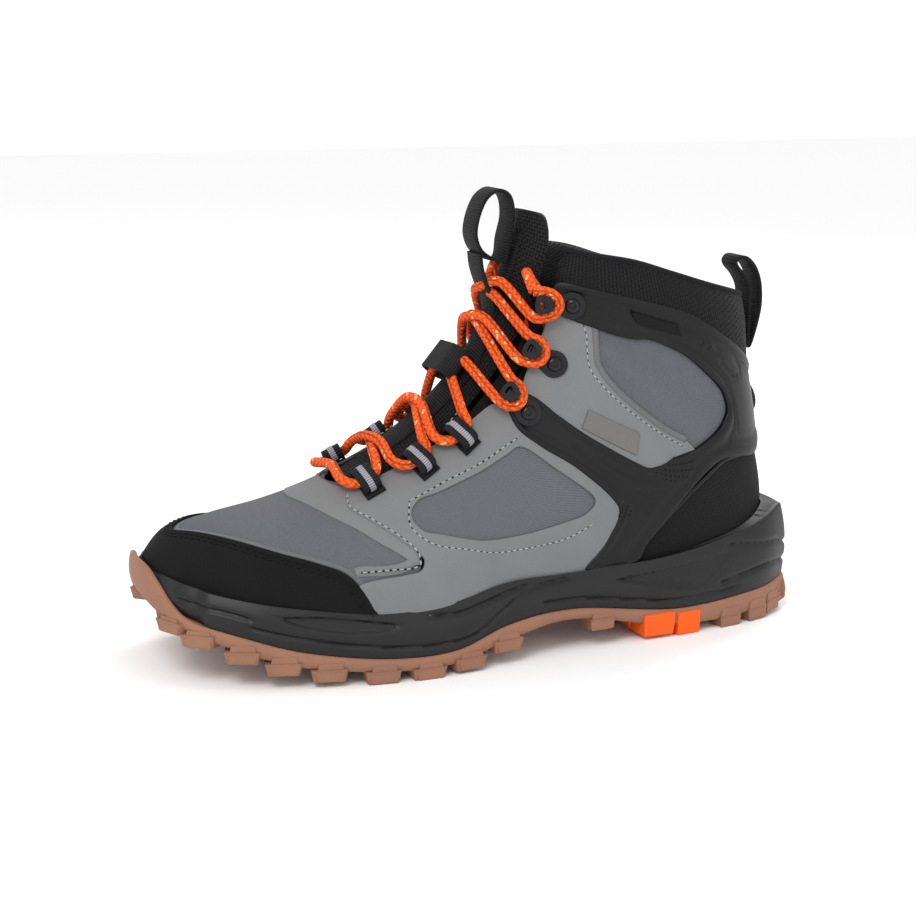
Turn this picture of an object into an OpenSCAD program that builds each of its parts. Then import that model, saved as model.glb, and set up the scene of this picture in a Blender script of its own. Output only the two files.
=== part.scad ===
// Left mid-height hiking boot: a lasted upper on a cupped midsole with a lugged rubber outsole.
// X runs along the boot with the toe at -X, the lateral side faces -Y, the ground is at Z = 0,
// and the origin is under the middle of the boot.

/* [Upper] */
// Thickness of the stitched overlays
overlay_t = 1.2; // [0.8:0.1:1.4]
// Thickness of the moulded ankle frame
frame_t = 2.4; // [1.8:0.1:3]
// Thickness of the textile panels
textile_t = 1; // [0.8:0.1:1.1]
// Thickness of the lining
lining_t = 1.2; // [1:0.1:1.4]
// Thickness of the padded tongue
tongue_t = 6; // [4:0.5:6.5]
// Thickness of the padded collar
collar_t = 7.5; // [5:0.5:8]
/* [Sole] */
// Depth of the outsole lugs
lug_depth = 5; // [3:0.5:5]
// Thickness of the midsole lip around the upper
lip_t = 1.6; // [1.2:0.1:2.4]
// Thickness of the removable insole
insole_t = 4; // [3:0.5:5]
/* [Lacing] */
// Diameter of the lace
lace_d = 4.6; // [3.5:0.1:4.8]
// Width of the lace loop webbing
loop_w = 9; // [7:0.5:11]
// Diameter of the hook rivets
rivet_d = 7; // [5:0.5:8]
/* [Pull loops] */
// Width of the tongue pull loop
tongue_loop_w = 16; // [12:1:20]
// Width of the heel pull loop
heel_loop_w = 14; // [10:1:18]
// Thickness of the pull loop webbing
webbing_t = 1.6; // [1.2:0.1:2]

/* [Hidden] */

LATERAL = -1;
MEDIAL = 1;
gap = 0.5;            // room between neighbouring layers of the upper
textile_top = -gap;   // the textiles lie under the overlays
lining_top = -3.7;    // the lining lies under the stiffeners
stiffener_top = -2.2;
stiffener_t = 0.7;

// ---- The last: the surface of the foot form that every upper piece is laid on ----
// Each station is a slanted section from a sole point (xb, zb) to an instep point (xt, zt), with
// its centre line y, lateral and medial half widths, height share of the widest point, width
// share at the sole, and the roundness of the crown.
STATIONS = [
    // xb   zb    xt   zt   y   lat med  wide  sole  crown
    [-152,  44, -152,  46, 15,   4,  4, 0.50, 0.30, 1.00],  // toe tip
    [-149,  41, -149,  52, 14,  19, 19, 0.10, 0.85, 1.00],
    [-140,  36, -140,  61, 12,  31, 31, 0.10, 0.90, 1.00],
    [-122,  28, -122,  67,  9,  42, 40, 0.12, 0.90, 0.95],  // toe box
    [ -97,  21,  -97,  72,  7,  50, 45, 0.22, 0.88, 0.95],
    [ -62,  17,  -72,  81,  4,  54, 47, 0.26, 0.88, 1.00],  // throat
    [ -30,  17,  -48,  95,  2,  53, 45, 0.24, 0.87, 1.05],
    [   0,  24,  -24, 114,  2,  47, 40, 0.19, 0.86, 1.10],  // instep
    [  35,  26,   -6, 133,  3,  42, 37, 0.23, 0.82, 1.10],
    [  88,  26,    4, 149,  4,  40, 38, 0.35, 0.76, 1.00],  // ankle
    [ 134,  28,   10, 161,  5,  39, 39, 0.46, 0.55, 0.95],
    [ 151,  48,   14, 170,  5,  39, 39, 0.48, 0.00, 0.90],  // heel back
    [ 146,  86,   17, 179,  5,  39, 39, 0.48, 0.00, 0.90],
    [ 139, 125,   20, 188,  5,  40, 40, 0.48, 0.00, 0.90],
    [ 136, 160,   22, 197,  5,  41, 41, 0.48, 0.00, 0.90],  // collar
    [ 134, 195,   24, 206,  5,  42, 42, 0.48, 0.00, 0.90],  // above the tongue
];

// Plan and heights of the sole at the same stations: x, lateral y, medial y, top edge of the
// midsole, line between midsole and outsole, underside of the outsole between its lugs.
SOLE = [
    [-158,   8, 24, 47, 39, 34],
    [-154, -10, 38, 46, 35, 30],
    [-145, -26, 49, 44, 30, 25],
    [-122, -40, 54, 39, 23, 16],
    [ -97, -48, 56, 35, 16,  9],
    [ -62, -54, 54, 31, 11,  5],
    [ -30, -54, 50, 33, 11,  5],
    [   0, -49, 45, 38, 19, 12],
    [  35, -42, 41, 37, 20, 15],
    [  88, -38, 42, 39, 13,  5],
    [ 134, -30, 36, 47, 15,  5],
    [ 154, -12, 18, 53, 17,  9],
    [ 158,  -3,  9, 53, 18, 12],
];

function smooth(a, b, c, d, f) =
    0.5 * (2 * b + (c - a) * f + (2 * a - 5 * b + 4 * c - d) * f * f + (3 * b - a - 3 * c + d) * f * f * f);

// Smooth curve through the rows of a table, at parameter t from 0 to the last row
function along(table, t) =
    let (n = len(table), u = min(max(t, 0), n - 1), i = min(floor(u), n - 2), p1 = table[i], p2 = table[i + 1],
        p0 = i > 0 ? table[i - 1] : 2 * p1 - p2, p3 = i < n - 2 ? table[i + 2] : 2 * p2 - p1)
    smooth(p0, p1, p2, p3, u - i);

// A point of the last. s is the station. q runs round the section: 0 at the sole edge or the back
// of the heel, -1 at the instep over the lateral side, +1 at the instep over the medial side, and
// values beyond -1 carry on over the instep to the medial side.
function wrapped(q) = q < -1 ? q + 2 : q > 1 ? q - 2 : q;
function last(s, q) =
    let (p = wrapped(q), side = p < 0 ? LATERAL : MEDIAL, c = along(STATIONS, s), a = 180 * abs(p),
        half = side == LATERAL ? c[5] : c[6], sole = max(c[8], 0),
        rise = a < 90 ? c[7] * (1 - cos(a)) : c[7] - (1 - c[7]) * cos(a),
        w = a < 90 ? half * (sole + (1 - sole) * sin(a)) : half * pow(sin(a), c[9]))
    [c[0] + (c[2] - c[0]) * rise, c[4] + side * w, c[1] + (c[3] - c[1]) * rise];
function outward(s, q) =
    let (n = cross(last(s, q + 0.01) - last(s, q - 0.01), last(s + 0.02, q) - last(s - 0.02, q))) n / norm(n);
function raised(s, q, h) = last(s, q) + h * outward(s, q);

// Share of the way up a section at which it reaches height z
function q_at_height(s, z) =
    let (c = along(STATIONS, s), rise = min((z - c[1]) / (c[3] - c[1]), 0.97))
    rise < c[7] ? acos(1 - rise / c[7]) / 180 : 0.5 + asin((rise - c[7]) / (1 - c[7])) / 180;

// ---- Building blocks ----
function mirrored(path) = [for (p = path) [p[0], -p[1]]];
function over_instep(path) = concat(path, [for (i = [len(path) - 2:-1:0]) [path[i][0], -2 - path[i][1]]]);
function round_heel(path) = concat(path, [for (i = [len(path) - 2:-1:0]) [path[i][0], -path[i][1]]]);
function sided(path, side) = side == LATERAL ? path : mirrored(path);

// Grid of (s, q) pairs ruled between two paths, with rows along them and columns across
function ruled(a, b, rows, cols) =
    [for (i = [0:rows]) let (t = i / rows * (len(a) - 1), p = along(a, t), r = along(b, t))
        [for (j = [0:cols]) p + (r - p) * j / cols]];

// Faces of a slab with the top grid first and the bottom grid after it
function slab_faces(rows, cols, flip) =
    let (m = cols + 1, k = (rows + 1) * m,
        quads = concat(
            [for (i = [0:rows - 1]) for (j = [0:cols - 1]) let (a = i * m + j) [a, a + 1, a + m + 1, a + m]],
            [for (i = [0:rows - 1]) for (j = [0:cols - 1]) let (a = k + i * m + j) [a, a + m, a + m + 1, a + 1]],
            [for (i = [0:rows - 1]) let (a = i * m) [a, a + m, k + a + m, k + a]],
            [for (i = [0:rows - 1]) let (a = i * m + cols) [a, k + a, k + a + m, a + m]],
            [for (j = [0:cols - 1]) [j, k + j, k + j + 1, j + 1]],
            [for (j = [0:cols - 1]) let (a = rows * m + j) [a, a + 1, k + a + 1, k + a]]))
    [for (f = quads) for (t = [[f[0], f[1], f[2]], [f[0], f[2], f[3]]]) flip ? [t[2], t[1], t[0]] : t];

// A panel of the upper between heights low and high over the last. crown lifts its middle.
module panel(a, b, low, high, rows = 12, cols = 4, crown = 0) {
    grid = ruled(a, b, rows, cols);
    mid = floor(rows / 2);
    e1 = grid[mid + 1][0] - grid[mid][0];
    e2 = grid[mid][1] - grid[mid][0];
    points = concat(
        [for (row = grid) for (j = [0:cols]) raised(row[j][0], row[j][1], high + crown * sin(180 * j / cols))],
        [for (row = grid) for (p = row) raised(p[0], p[1], low)]);
    polyhedron(points, slab_faces(rows, cols, e1[0] * e2[1] - e1[1] * e2[0] > 0), convexity = 8);
}

// A solid through a row of sections, each a ring of points, closed at both ends
module loft(rings, flip = false) {
    n = len(rings);
    m = len(rings[0]);
    ends = [for (r = [rings[0], rings[n - 1]]) [for (k = [0:2]) [for (p = r) p[k]] * [for (p = r) 1] / m]];
    side = [for (i = [0:n - 2]) for (j = [0:m - 1])
        let (a = i * m + j, b = i * m + (j + 1) % m) each [[a, b, b + m], [a, b + m, a + m]]];
    caps = [for (j = [0:m - 1]) let (k = (j + 1) % m) each
        [[n * m, k, j], [n * m + 1, (n - 1) * m + j, (n - 1) * m + k]]];
    faces = [for (f = concat(side, caps)) flip ? [f[2], f[1], f[0]] : f];
    polyhedron(concat([for (r = rings) each r], ends), faces, convexity = 8);
}

// Places a piece on the upper: its x axis along +s turned by turn, its z axis outward
module on_last(s, q, h = 0, turn = 0) {
    n = outward(s, q);
    d = last(s + 0.05, q) - last(s - 0.05, q);
    x = (d - (d * n) * n) / norm(d - (d * n) * n);
    y = cross(n, x);
    p = raised(s, q, h);
    multmatrix([[x[0], y[0], n[0], p[0]], [x[1], y[1], n[1], p[1]], [x[2], y[2], n[2], p[2]], [0, 0, 0, 1]])
        rotate([0, 0, turn]) children();
}

// ---- Sole ----
toe_wrap_end = 2.2;   // station at which the outsole stops wrapping up over the toe
toe_wrap_t = 2.5;
seam = 0.15;          // room left in each cemented joint of the sole
function sole_y(s, side, inset = 0) = along(SOLE, s)[side == LATERAL ? 1 : 2] - side * inset;
function sole_ring(s, inset, z_low, z_high) =
    let (x = along(SOLE, s)[0])
    [[x, sole_y(s, LATERAL, inset + 1), z_low], [x, sole_y(s, LATERAL, inset), z_high],
        [x, sole_y(s, MEDIAL, inset), z_high], [x, sole_y(s, MEDIAL, inset + 1), z_low]];

// One half of a midsole section, from its outer wall over the lip and down into the cup. Behind
// the heel of the last there is no cup, so its points lie just under the top edge.
function cup_half(s, side) =
    let (r = along(SOLE, s), u = min(s, 11), top = side * q_at_height(u, r[3] - 1),
        inset = s < toe_wrap_end + 0.2 ? toe_wrap_t + 0.3 : 0.6, y = sole_y(s, side, inset),
        x = r[0] + (s < 2 ? inset * (2 - s) / 2 : 0), lip = raised(u, top, 2 + lip_t),
        wall = [[x, y, r[4] + seam], [x, y, (r[3] + r[4]) / 2]])
    s > 11
    ? concat(wall, [for (k = [0.9, 0.75, 0.5, 0.3, 0.1]) [x - 0.5, 5 + (y - 5) * k, r[3] - 1 + k]])
    : concat(wall, [[x, lip[1], r[3]], raised(u, top, 2)],
        [for (k = [0.66, 0.33, 0.03]) raised(u, top * k, 2)]);
function shank_dip(s, side) =
    let (c = along(STATIONS, min(s, 11)), r = along(SOLE, s), dip = s > 6 && s < 9.5 ? 1.8 : 0,
        half = min(13, c[5] * c[8] / 2 + 0.5), x = s > 11 ? r[0] - 0.5 : c[0], z = s > 11 ? r[3] - 1 : c[1] - 2)
    [[x, c[4] + side * half, z], [x, c[4] + side * (half - 0.3), z - dip]];
module midsole() {
    rings = [for (s = [0.5:0.25:12]) concat(cup_half(s, LATERAL), shank_dip(s, LATERAL),
        [for (k = [1, 0]) shank_dip(s, MEDIAL)[k]], [for (k = [6:-1:0]) cup_half(s, MEDIAL)[k]])];
    color("dimgray") loft(rings);
}
module shank() {
    rings = [for (s = [6.3:0.25:9.3]) let (c = along(STATIONS, s), w = 11.5)
        [[c[0], c[4] - w, c[1] - 3.6], [c[0], c[4] + w, c[1] - 3.6], [c[0], c[4] + w, c[1] - 2.2],
            [c[0], c[4] - w, c[1] - 2.2]]];
    color("silver") loft(rings, true);
}

// A thin sole sheet that follows the sole edge of the last, narrower by inset
function bed_ring(s, inset, low, high) =
    let (c = along(STATIONS, s), k = max(c[8], 0), a = max(c[5] * k - inset, 0.6), b = max(c[6] * k - inset, 0.6))
    [[c[0], c[4] - a, c[1] + low], [c[0], c[4] + b, c[1] + low], [c[0], c[4] + b, c[1] + high],
        [c[0], c[4] - a, c[1] + high]];
module insole_board() {
    color("beige") loft([for (s = [1:0.25:10.5]) bed_ring(s, 1.5, -1.7, -0.3)], true);
}
module insole() {
    color("darkgray") loft([for (s = [1.8:0.25:10.05]) bed_ring(s, 6.6, 0.3, 0.3 + insole_t)], true);
}

FORE_ROWS = [2.3, 2.85, 3.4, 3.95, 4.45, 4.95, 5.45, 5.95, 6.45, 6.95];
HEEL_ROWS = [9.45, 9.8, 10.15, 10.6];
INSERT_FROM = 8.55;
INSERT_TO = 9.2;
edge_lug = [11, 13];
centre_lug = [9, 14];
module lug(x, y, z, size) {
    hull() {
        translate([x, y, z + 1.4]) cube([size[0], size[1], 0.2], center = true);
        translate([x, y, max(z - lug_depth, 0) + 0.1]) cube([size[0] - 3, size[1] - 3, 0.2], center = true);
    }
}
module outsole() {
    color("rosybrown") union() {
        loft([for (s = [0.15:0.35:11.7]) let (r = along(SOLE, s)) sole_ring(s, 0, r[5], r[4] - seam)]);
        loft([for (t = [-toe_wrap_end:0.2:toe_wrap_end]) let (s = max(abs(t), 0.15), r = along(SOLE, s),
            side = t < 0 ? LATERAL : MEDIAL, y = sole_y(s, side), x_in = r[0] + toe_wrap_t * max(1 - s / 2, 0.2))
            [[r[0], y, r[5] + 1], [r[0], y, r[3]],
                [x_in, y - side * toe_wrap_t, r[3]], [x_in, y - side * toe_wrap_t, r[5] + 1]]], true);
        for (s = concat(FORE_ROWS, HEEL_ROWS)) {
            r = along(SOLE, s);
            a = r[1] + edge_lug[1] / 2;
            b = r[2] - edge_lug[1] / 2;
            lug(r[0], a, r[5], edge_lug);
            lug(r[0], b, r[5], edge_lug);
            lug(r[0] + 4, (2 * a + b) / 3, r[5], centre_lug);
            lug(r[0] + 4, (a + 2 * b) / 3, r[5], centre_lug);
        }
    }
}
module heel_insert() {
    color("darkorange") loft([for (s = [INSERT_FROM:0.13:INSERT_TO]) let (r = along(SOLE, s))
        sole_ring(s, 1, max(r[5] - lug_depth, 0), r[5] - seam)]);
}

// ---- Upper: outlines as [station, q] pairs on the lateral side ----
TOE_EDGE = [[5.0, -0.30], [4.98, -0.46], [4.72, -0.60], [4.30, -0.665], [3.70, -0.73], [2.70, -0.85],
    [2.15, -0.93], [1.95, -1.0]];
TOE_FEATHER = [[4.6, -0.06], [3.6, -0.06], [2.6, -0.06], [1.8, -0.06], [1.0, -0.10], [0.5, -0.2],
    [0.2, -0.5], [0.12, -1.0]];
VAMP_EDGE = [[5.6, -0.57], [5.68, -0.62], [5.36, -0.68], [5.0, -0.75], [4.7, -0.84], [4.45, -0.91],
    [4.35, -0.96], [4.3, -1.0]];
MUDGUARD = [[4.95, -0.985], [5.4, -0.90], [6.4, -0.85], [7.3, -0.81], [8.0, -0.785], [8.05, -0.73],
    [8.38, -0.625], [8.76, -0.50], [8.50, -0.41], [8.1, -0.27], [7.6, -0.10], [6.4, -0.08], [5.3, -0.10],
    [5.15, -0.32], [5.66, -0.58], [5.36, -0.68], [4.75, -0.83], [4.35, -0.985]];
QUARTER_WINDOW = [[6.0, -0.73], [6.15, -0.735], [6.5, -0.72], [7.2, -0.70], [7.75, -0.69], [8.08, -0.68],
    [8.40, -0.61], [8.67, -0.535], [8.48, -0.52], [8.15, -0.53], [7.55, -0.55], [6.95, -0.575], [6.6, -0.60],
    [6.2, -0.64], [6.0, -0.66], [5.92, -0.68], [5.88, -0.70], [5.92, -0.72]];
QUARTER_TOP = [[5.80, -0.70], [6.0, -0.75], [6.6, -0.73], [7.3, -0.715], [7.95, -0.70], [8.34, -0.65],
    [8.62, -0.56]];
QUARTER_BOTTOM = [[5.84, -0.68], [6.1, -0.63], [6.6, -0.585], [7.2, -0.55], [7.75, -0.53], [8.2, -0.515],
    [8.6, -0.51]];
FRAME_OUTER = [[11.98, -0.785], [12.46, -0.70], [12.88, -0.58], [13.12, -0.46], [13.08, -0.34], [13.0, -0.2],
    [12.93, -0.06], [12.9, -0.015], [12.75, -0.015], [12.2, -0.015], [12.05, -0.015], [12.0, -0.06],
    [11.7, -0.18], [11.03, -0.36], [9.84, -0.395], [9.02, -0.335], [8.68, -0.25], [8.20, -0.30],
    [8.57, -0.41], [8.88, -0.49], [8.68, -0.585], [8.34, -0.66], [8.13, -0.72], [8.25, -0.775]];
FRAME_INNER = [[11.0, -0.785], [11.5, -0.67], [11.85, -0.60], [12.15, -0.55], [12.3, -0.47], [12.25, -0.40],
    [12.22, -0.375], [12.18, -0.355], [12.14, -0.345], [12.04, -0.335], [11.98, -0.332], [11.85, -0.335],
    [11.6, -0.36], [11.1, -0.41], [10.55, -0.445], [10.2, -0.465],
    [9.95, -0.475], [9.8, -0.485], [9.65, -0.50], [9.5, -0.53], [9.32, -0.57], [9.08, -0.625], [8.9, -0.675],
    [8.68, -0.74]];
ANKLE_OUTER = [[10.9, -0.79], [10.1, -0.785], [9.3, -0.78], [8.8, -0.75], [9.0, -0.69], [9.2, -0.63],
    [9.42, -0.575], [9.7, -0.52], [10.05, -0.485], [10.6, -0.455]];
ANKLE_INNER = [[11.4, -0.69], [11.2, -0.675], [10.9, -0.665], [10.72, -0.645], [10.6, -0.62],
    [10.5, -0.59], [10.5, -0.56], [10.55, -0.53], [10.65, -0.50], [10.8, -0.47]];
ANKLE_TEXTILE_TOP = [[10.7, -0.70], [11.5, -0.69], [11.95, -0.61], [12.3, -0.55], [12.4, -0.46], [12.3, -0.38],
    [12.1, -0.345]];
ANKLE_TEXTILE_LOW = [[10.55, -0.68], [10.4, -0.62], [10.42, -0.57], [10.5, -0.52], [10.7, -0.465],
    [11.15, -0.42], [11.75, -0.36]];
HEEL_TOP = [[8.72, -0.23], [9.02, -0.32], [9.5, -0.36], [9.84, -0.38], [10.5, -0.37], [11.0, -0.345],
    [11.66, -0.17], [12.0, 0]];
HEEL_FEATHER = [[8.8, -0.08], [9.3, -0.08], [9.7, -0.07], [10.1, -0.06], [10.5, -0.05], [10.8, -0.04],
    [11.0, -0.02], [11.1, 0]];
COUNTER_TOP = [[9.1, -0.38], [9.8, -0.42], [10.4, -0.42], [10.9, -0.40], [11.4, -0.35], [11.9, -0.27],
    [12.3, -0.12], [12.4, 0]];
LINING_TOP = [[5.1, -0.81], [6.4, -0.80], [8.4, -0.785], [10.2, -0.785], [11.9, -0.77], [12.5, -0.68],
    [12.88, -0.56], [13.0, -0.44], [12.95, -0.3], [12.9, 0]];
LINING_FEATHER = [[5.1, -0.12], [6.0, -0.12], [7.0, -0.12], [8.0, -0.12], [8.8, -0.12], [9.5, -0.12],
    [10.1, -0.12], [10.6, -0.1], [11.0, -0.06], [11.15, 0]];
COLLAR_LOW = [[12.15, -0.79], [12.62, -0.69], [13.02, -0.58], [13.25, -0.46], [13.2, -0.34], [13.12, -0.2],
    [13.05, 0]];
COLLAR_TOP = [[13.3, -0.79], [13.45, -0.71], [13.72, -0.60], [13.8, -0.50], [13.85, -0.40], [13.93, -0.2],
    [13.95, 0]];

module toe_cap() { color("#222224") panel(over_instep(TOE_EDGE), over_instep(TOE_FEATHER), 0, overlay_t, 28, 5); }
module toe_puff() {
    top = [for (p = TOE_EDGE) [p[0] * 0.82, p[1]]];
    low = [[3.6, -0.10], [3.0, -0.10], [2.4, -0.12], [1.9, -0.2], [1.6, -0.35], [1.4, -0.55], [1.3, -0.8],
        [1.25, -1.0]];
    color("wheat") panel(over_instep(top), over_instep(low), stiffener_top - stiffener_t, stiffener_top, 24, 4);
}
module vamp_textile() {
    inner = [for (p = TOE_EDGE) [p[0] - 0.25, max(p[1] * 1.01, -1)]];
    color("#55565c") panel(over_instep(VAMP_EDGE), over_instep(inner),
        textile_top - textile_t, textile_top, 28, 4);
}
module mudguard(side) {
    color("#8b8f90") panel(sided(MUDGUARD, side), sided(QUARTER_WINDOW, side), 0, overlay_t, 40, 4);
}
module mudguard_lateral() { mudguard(LATERAL); }
module mudguard_medial() { mudguard(MEDIAL); }
module quarter_textile(side) {
    color("#55565c") panel(sided(QUARTER_TOP, side), sided(QUARTER_BOTTOM, side), textile_top - textile_t,
        textile_top, 14, 3);
}
module quarter_textile_lateral() { quarter_textile(LATERAL); }
module quarter_textile_medial() { quarter_textile(MEDIAL); }
module ankle_panel(side) {
    color("#8b8f90") panel(sided(ANKLE_OUTER, side), sided(ANKLE_INNER, side), 0, overlay_t, 22, 4);
}
module ankle_panel_lateral() { ankle_panel(LATERAL); }
module ankle_panel_medial() { ankle_panel(MEDIAL); }
module ankle_textile(side) {
    color("#55565c") panel(sided(ANKLE_TEXTILE_TOP, side), sided(ANKLE_TEXTILE_LOW, side),
        textile_top - textile_t, textile_top, 14, 4);
}
module ankle_textile_lateral() { ankle_textile(LATERAL); }
module ankle_textile_medial() { ankle_textile(MEDIAL); }
module ankle_frame(side) {
    color("#2b2a2d") panel(sided(FRAME_OUTER, side), sided(FRAME_INNER, side), 0, frame_t, 44, 3);
}
module ankle_frame_lateral() { ankle_frame(LATERAL); }
module ankle_frame_medial() { ankle_frame(MEDIAL); }
module heel_textile() {
    color("#1d1d1f") panel(round_heel(HEEL_TOP), round_heel(HEEL_FEATHER), textile_top - textile_t,
        textile_top, 32, 4);
}
module heel_piping(side) {
    top = [[8.82, -0.235], [9.02, -0.30], [9.5, -0.347], [9.84, -0.365], [10.5, -0.355], [11.0, -0.33],
        [11.5, -0.2], [11.82, -0.02]];
    low = [for (p = top) [p[0] + 0.02, p[1] + 0.02]];
    color("#151516") panel(sided(top, side), sided(low, side), -0.3, overlay_t, 24, 1);
}
module heel_piping_lateral() { heel_piping(LATERAL); }
module heel_piping_medial() { heel_piping(MEDIAL); }
module heel_counter() {
    color("wheat") panel(round_heel(COUNTER_TOP), round_heel(HEEL_FEATHER), stiffener_top - stiffener_t,
        stiffener_top, 30, 4);
}
module heel_badge() { color("#3a393c") on_last(12.45, 0, frame_t + 0.6) cylinder(r = 8, h = 1.6, $fn = 48); }
module side_label(side) {
    color("#9a9690") panel(sided([[9.3, -0.60], [9.45, -0.61], [9.95, -0.54]], side),
        sided([[9.26, -0.585], [9.5, -0.55], [9.8, -0.52]], side), overlay_t + 0.1, overlay_t + 0.7, 6, 2);
}
module side_label_lateral() { side_label(LATERAL); }
module side_label_medial() { side_label(MEDIAL); }
module band_label(side) {
    color("#111112") panel(sided([[12.62, -0.585], [12.72, -0.49]], side),
        sided([[12.36, -0.57], [12.46, -0.48]], side), frame_t + 0.1, frame_t + 0.6, 4, 1);
}
module band_label_lateral() { band_label(LATERAL); }
module band_label_medial() { band_label(MEDIAL); }
module lining_vamp() {
    top = [[5.0, -0.2], [5.02, -0.5], [5.02, -0.75], [5.0, -1.0]];
    low = [[3.6, -0.16], [2.5, -0.25], [2.0, -0.5], [1.9, -1.0]];
    color("#3b3b3f") panel(over_instep(top), over_instep(low), lining_top - lining_t, lining_top, 22, 8);
}
module lining_quarters() {
    color("#3b3b3f") panel(round_heel(LINING_TOP), round_heel(LINING_FEATHER), lining_top - lining_t,
        lining_top, 36, 6);
}
module collar_pad() {
    color("#19191b") panel(round_heel(COLLAR_LOW), round_heel(COLLAR_TOP), 0.8 - collar_t, 0.2, 32, 6, 1.5);
}

// ---- Tongue ----
fold_s = 11.35;       // station of the fold line at the front of the tongue
fold_room = 0.09;
function fold_at(q) = fold_s + 27 * pow(1 - abs(q), 2);
TONGUE_Q = [-0.845, -0.88, -0.92, -0.96, -1.0];
function tongue_path(s_of) = over_instep([for (q = TONGUE_Q) [s_of(q), q]]);
module tongue_lower() {
    color("#202022") panel(tongue_path(function (q) fold_at(q) - fold_room), tongue_path(function (q) 5.15),
        -0.8 - tongue_t, -1.6, 8, 14, 0.8);
}
module tongue_upper() {
    color("#202022") panel(tongue_path(function (q) 14.35), tongue_path(function (q) fold_at(q) + fold_room),
        -0.8 - tongue_t, -1.6, 10, 5, 0.8);
}
module gusset(side) {
    color("#101011") panel(sided([[5.6, -0.825], [7.5, -0.825], [10.4, -0.825]], side),
        sided([[5.6, -0.795], [7.5, -0.795], [10.4, -0.795]], side), -3.3, -2.7, 10, 1);
}
module gusset_lateral() { gusset(LATERAL); }
module gusset_medial() { gusset(MEDIAL); }

// ---- Lacing ----
// Eyes of the lacing on the lateral side, from the toe up: [station, q, height of the seat]
LOOP_EYES = [[5.5, -0.84, overlay_t], [6.38, -0.80, overlay_t], [7.16, -0.78, overlay_t]];
HOOK_EYES = [[8.44, -0.72, frame_t], [9.58, -0.735, overlay_t], [11.6, -0.74, frame_t]];
loop_high = 7.6;
strap_t = 1.2;
keeper_s = 7.75;      // station of the keeper that the third crossing of the lace runs through
hook_reach = 10;      // from the rivet to the neck that the lace turns round
hook_plate = 1;
hook_neck = 5.2;
lace_seat = 3.7;      // height of the lace over the seat of an eye
lace_low = 3;         // height of the lower strand over the tongue where two strands cross
lace_high = 8.1;      // height of the upper strand there

function eye_turn(side) = side == LATERAL ? 0 : 180;
module at_eye(eye, side) {
    on_last(eye[0], -side * eye[1], eye[2] + 0.1, eye_turn(side)) children();
}
module stadium(length, high) {
    translate([0, high / 2]) square([length - high, high], center = true);
    for (k = [-1, 1]) translate([k * (length - high) / 2, high / 2]) circle(d = high, $fn = 32);
}
module strap_ring(length, high, t, wide) {
    rotate([90, 0, 90]) translate([0, 0, -wide / 2]) linear_extrude(wide) difference() {
        stadium(length, high);
        translate([0, t]) stadium(length - 2 * t, high - 2 * t);
    }
}
module lace_loops(side) {
    color("#2c2c2e") for (eye = LOOP_EYES) at_eye(eye, side) translate([0, 2, 0])
        strap_ring(14, loop_high, strap_t, loop_w);
}
module lace_loops_lateral() { lace_loops(LATERAL); }
module lace_loops_medial() { lace_loops(MEDIAL); }
module tongue_keeper() {
    color("#202022") on_last(keeper_s, -1, -0.6, 90) strap_ring(30, 13, strap_t, 15);
}
module lace_hook() {
    linear_extrude(hook_plate) difference() {
        union() {
            circle(r = 6, $fn = 48);
            translate([0, 6.5]) square([7, 13], center = true);
        }
        circle(r = 1.7, $fn = 32);
    }
    translate([-2, hook_reach - 0.5, hook_plate]) cube([4, 3, hook_neck]);
    translate([0, 0, hook_plate + hook_neck]) linear_extrude(1.2)
        polygon([[-2.5, hook_reach - 1], [2.5, hook_reach - 1], [4.5, hook_reach + 4], [3, hook_reach + 6],
            [-3, hook_reach + 6], [-4.5, hook_reach + 4]]);
}
module lace_hooks(side) { color("#3c3c40") for (eye = HOOK_EYES) at_eye(eye, side) lace_hook(); }
module lace_hooks_lateral() { lace_hooks(LATERAL); }
module lace_hooks_medial() { lace_hooks(MEDIAL); }
module hook_rivets(side) {
    color("#4a4a4e") for (eye = HOOK_EYES) at_eye(eye, side) {
        cylinder(r = 1.65, h = hook_plate + 0.5, $fn = 32);
        translate([0, 0, hook_plate + 0.05]) cylinder(d = rivet_d, h = 1.2, $fn = 48);
    }
}
module hook_rivets_lateral() { hook_rivets(LATERAL); }
module hook_rivets_medial() { hook_rivets(MEDIAL); }

// A point near an eye: x along the boot, y towards the instep, with the outward direction there
function near_eye(eye, side, x, y, z) =
    let (q = -side * eye[1], n = outward(eye[0], q), d = last(eye[0] + 0.05, q) - last(eye[0] - 0.05, q),
        u = (d - (d * n) * n) / norm(d - (d * n) * n))
    concat(raised(eye[0], q, eye[2] + z) + u * x + cross(n, u) * y * -side, n);
function loop_turn(eye, side) = [for (p = [[-9, 10], [-5, 3], [5, 3], [9, 10]])
    near_eye(eye, side, p[0], p[1], lace_seat + 0.2)];
function hook_turn(eye, side) = [for (p = [[-5.6, 18], [-5.6, 11.5], [-3.6, 7.4], [0, 5.8], [3.6, 7.4],
    [5.6, 11.5], [5.6, 18]]) near_eye(eye, side, p[0], p[1], lace_seat)];
function crossing(s, h) = concat(raised(s, -1, h), outward(s, -1));
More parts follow.
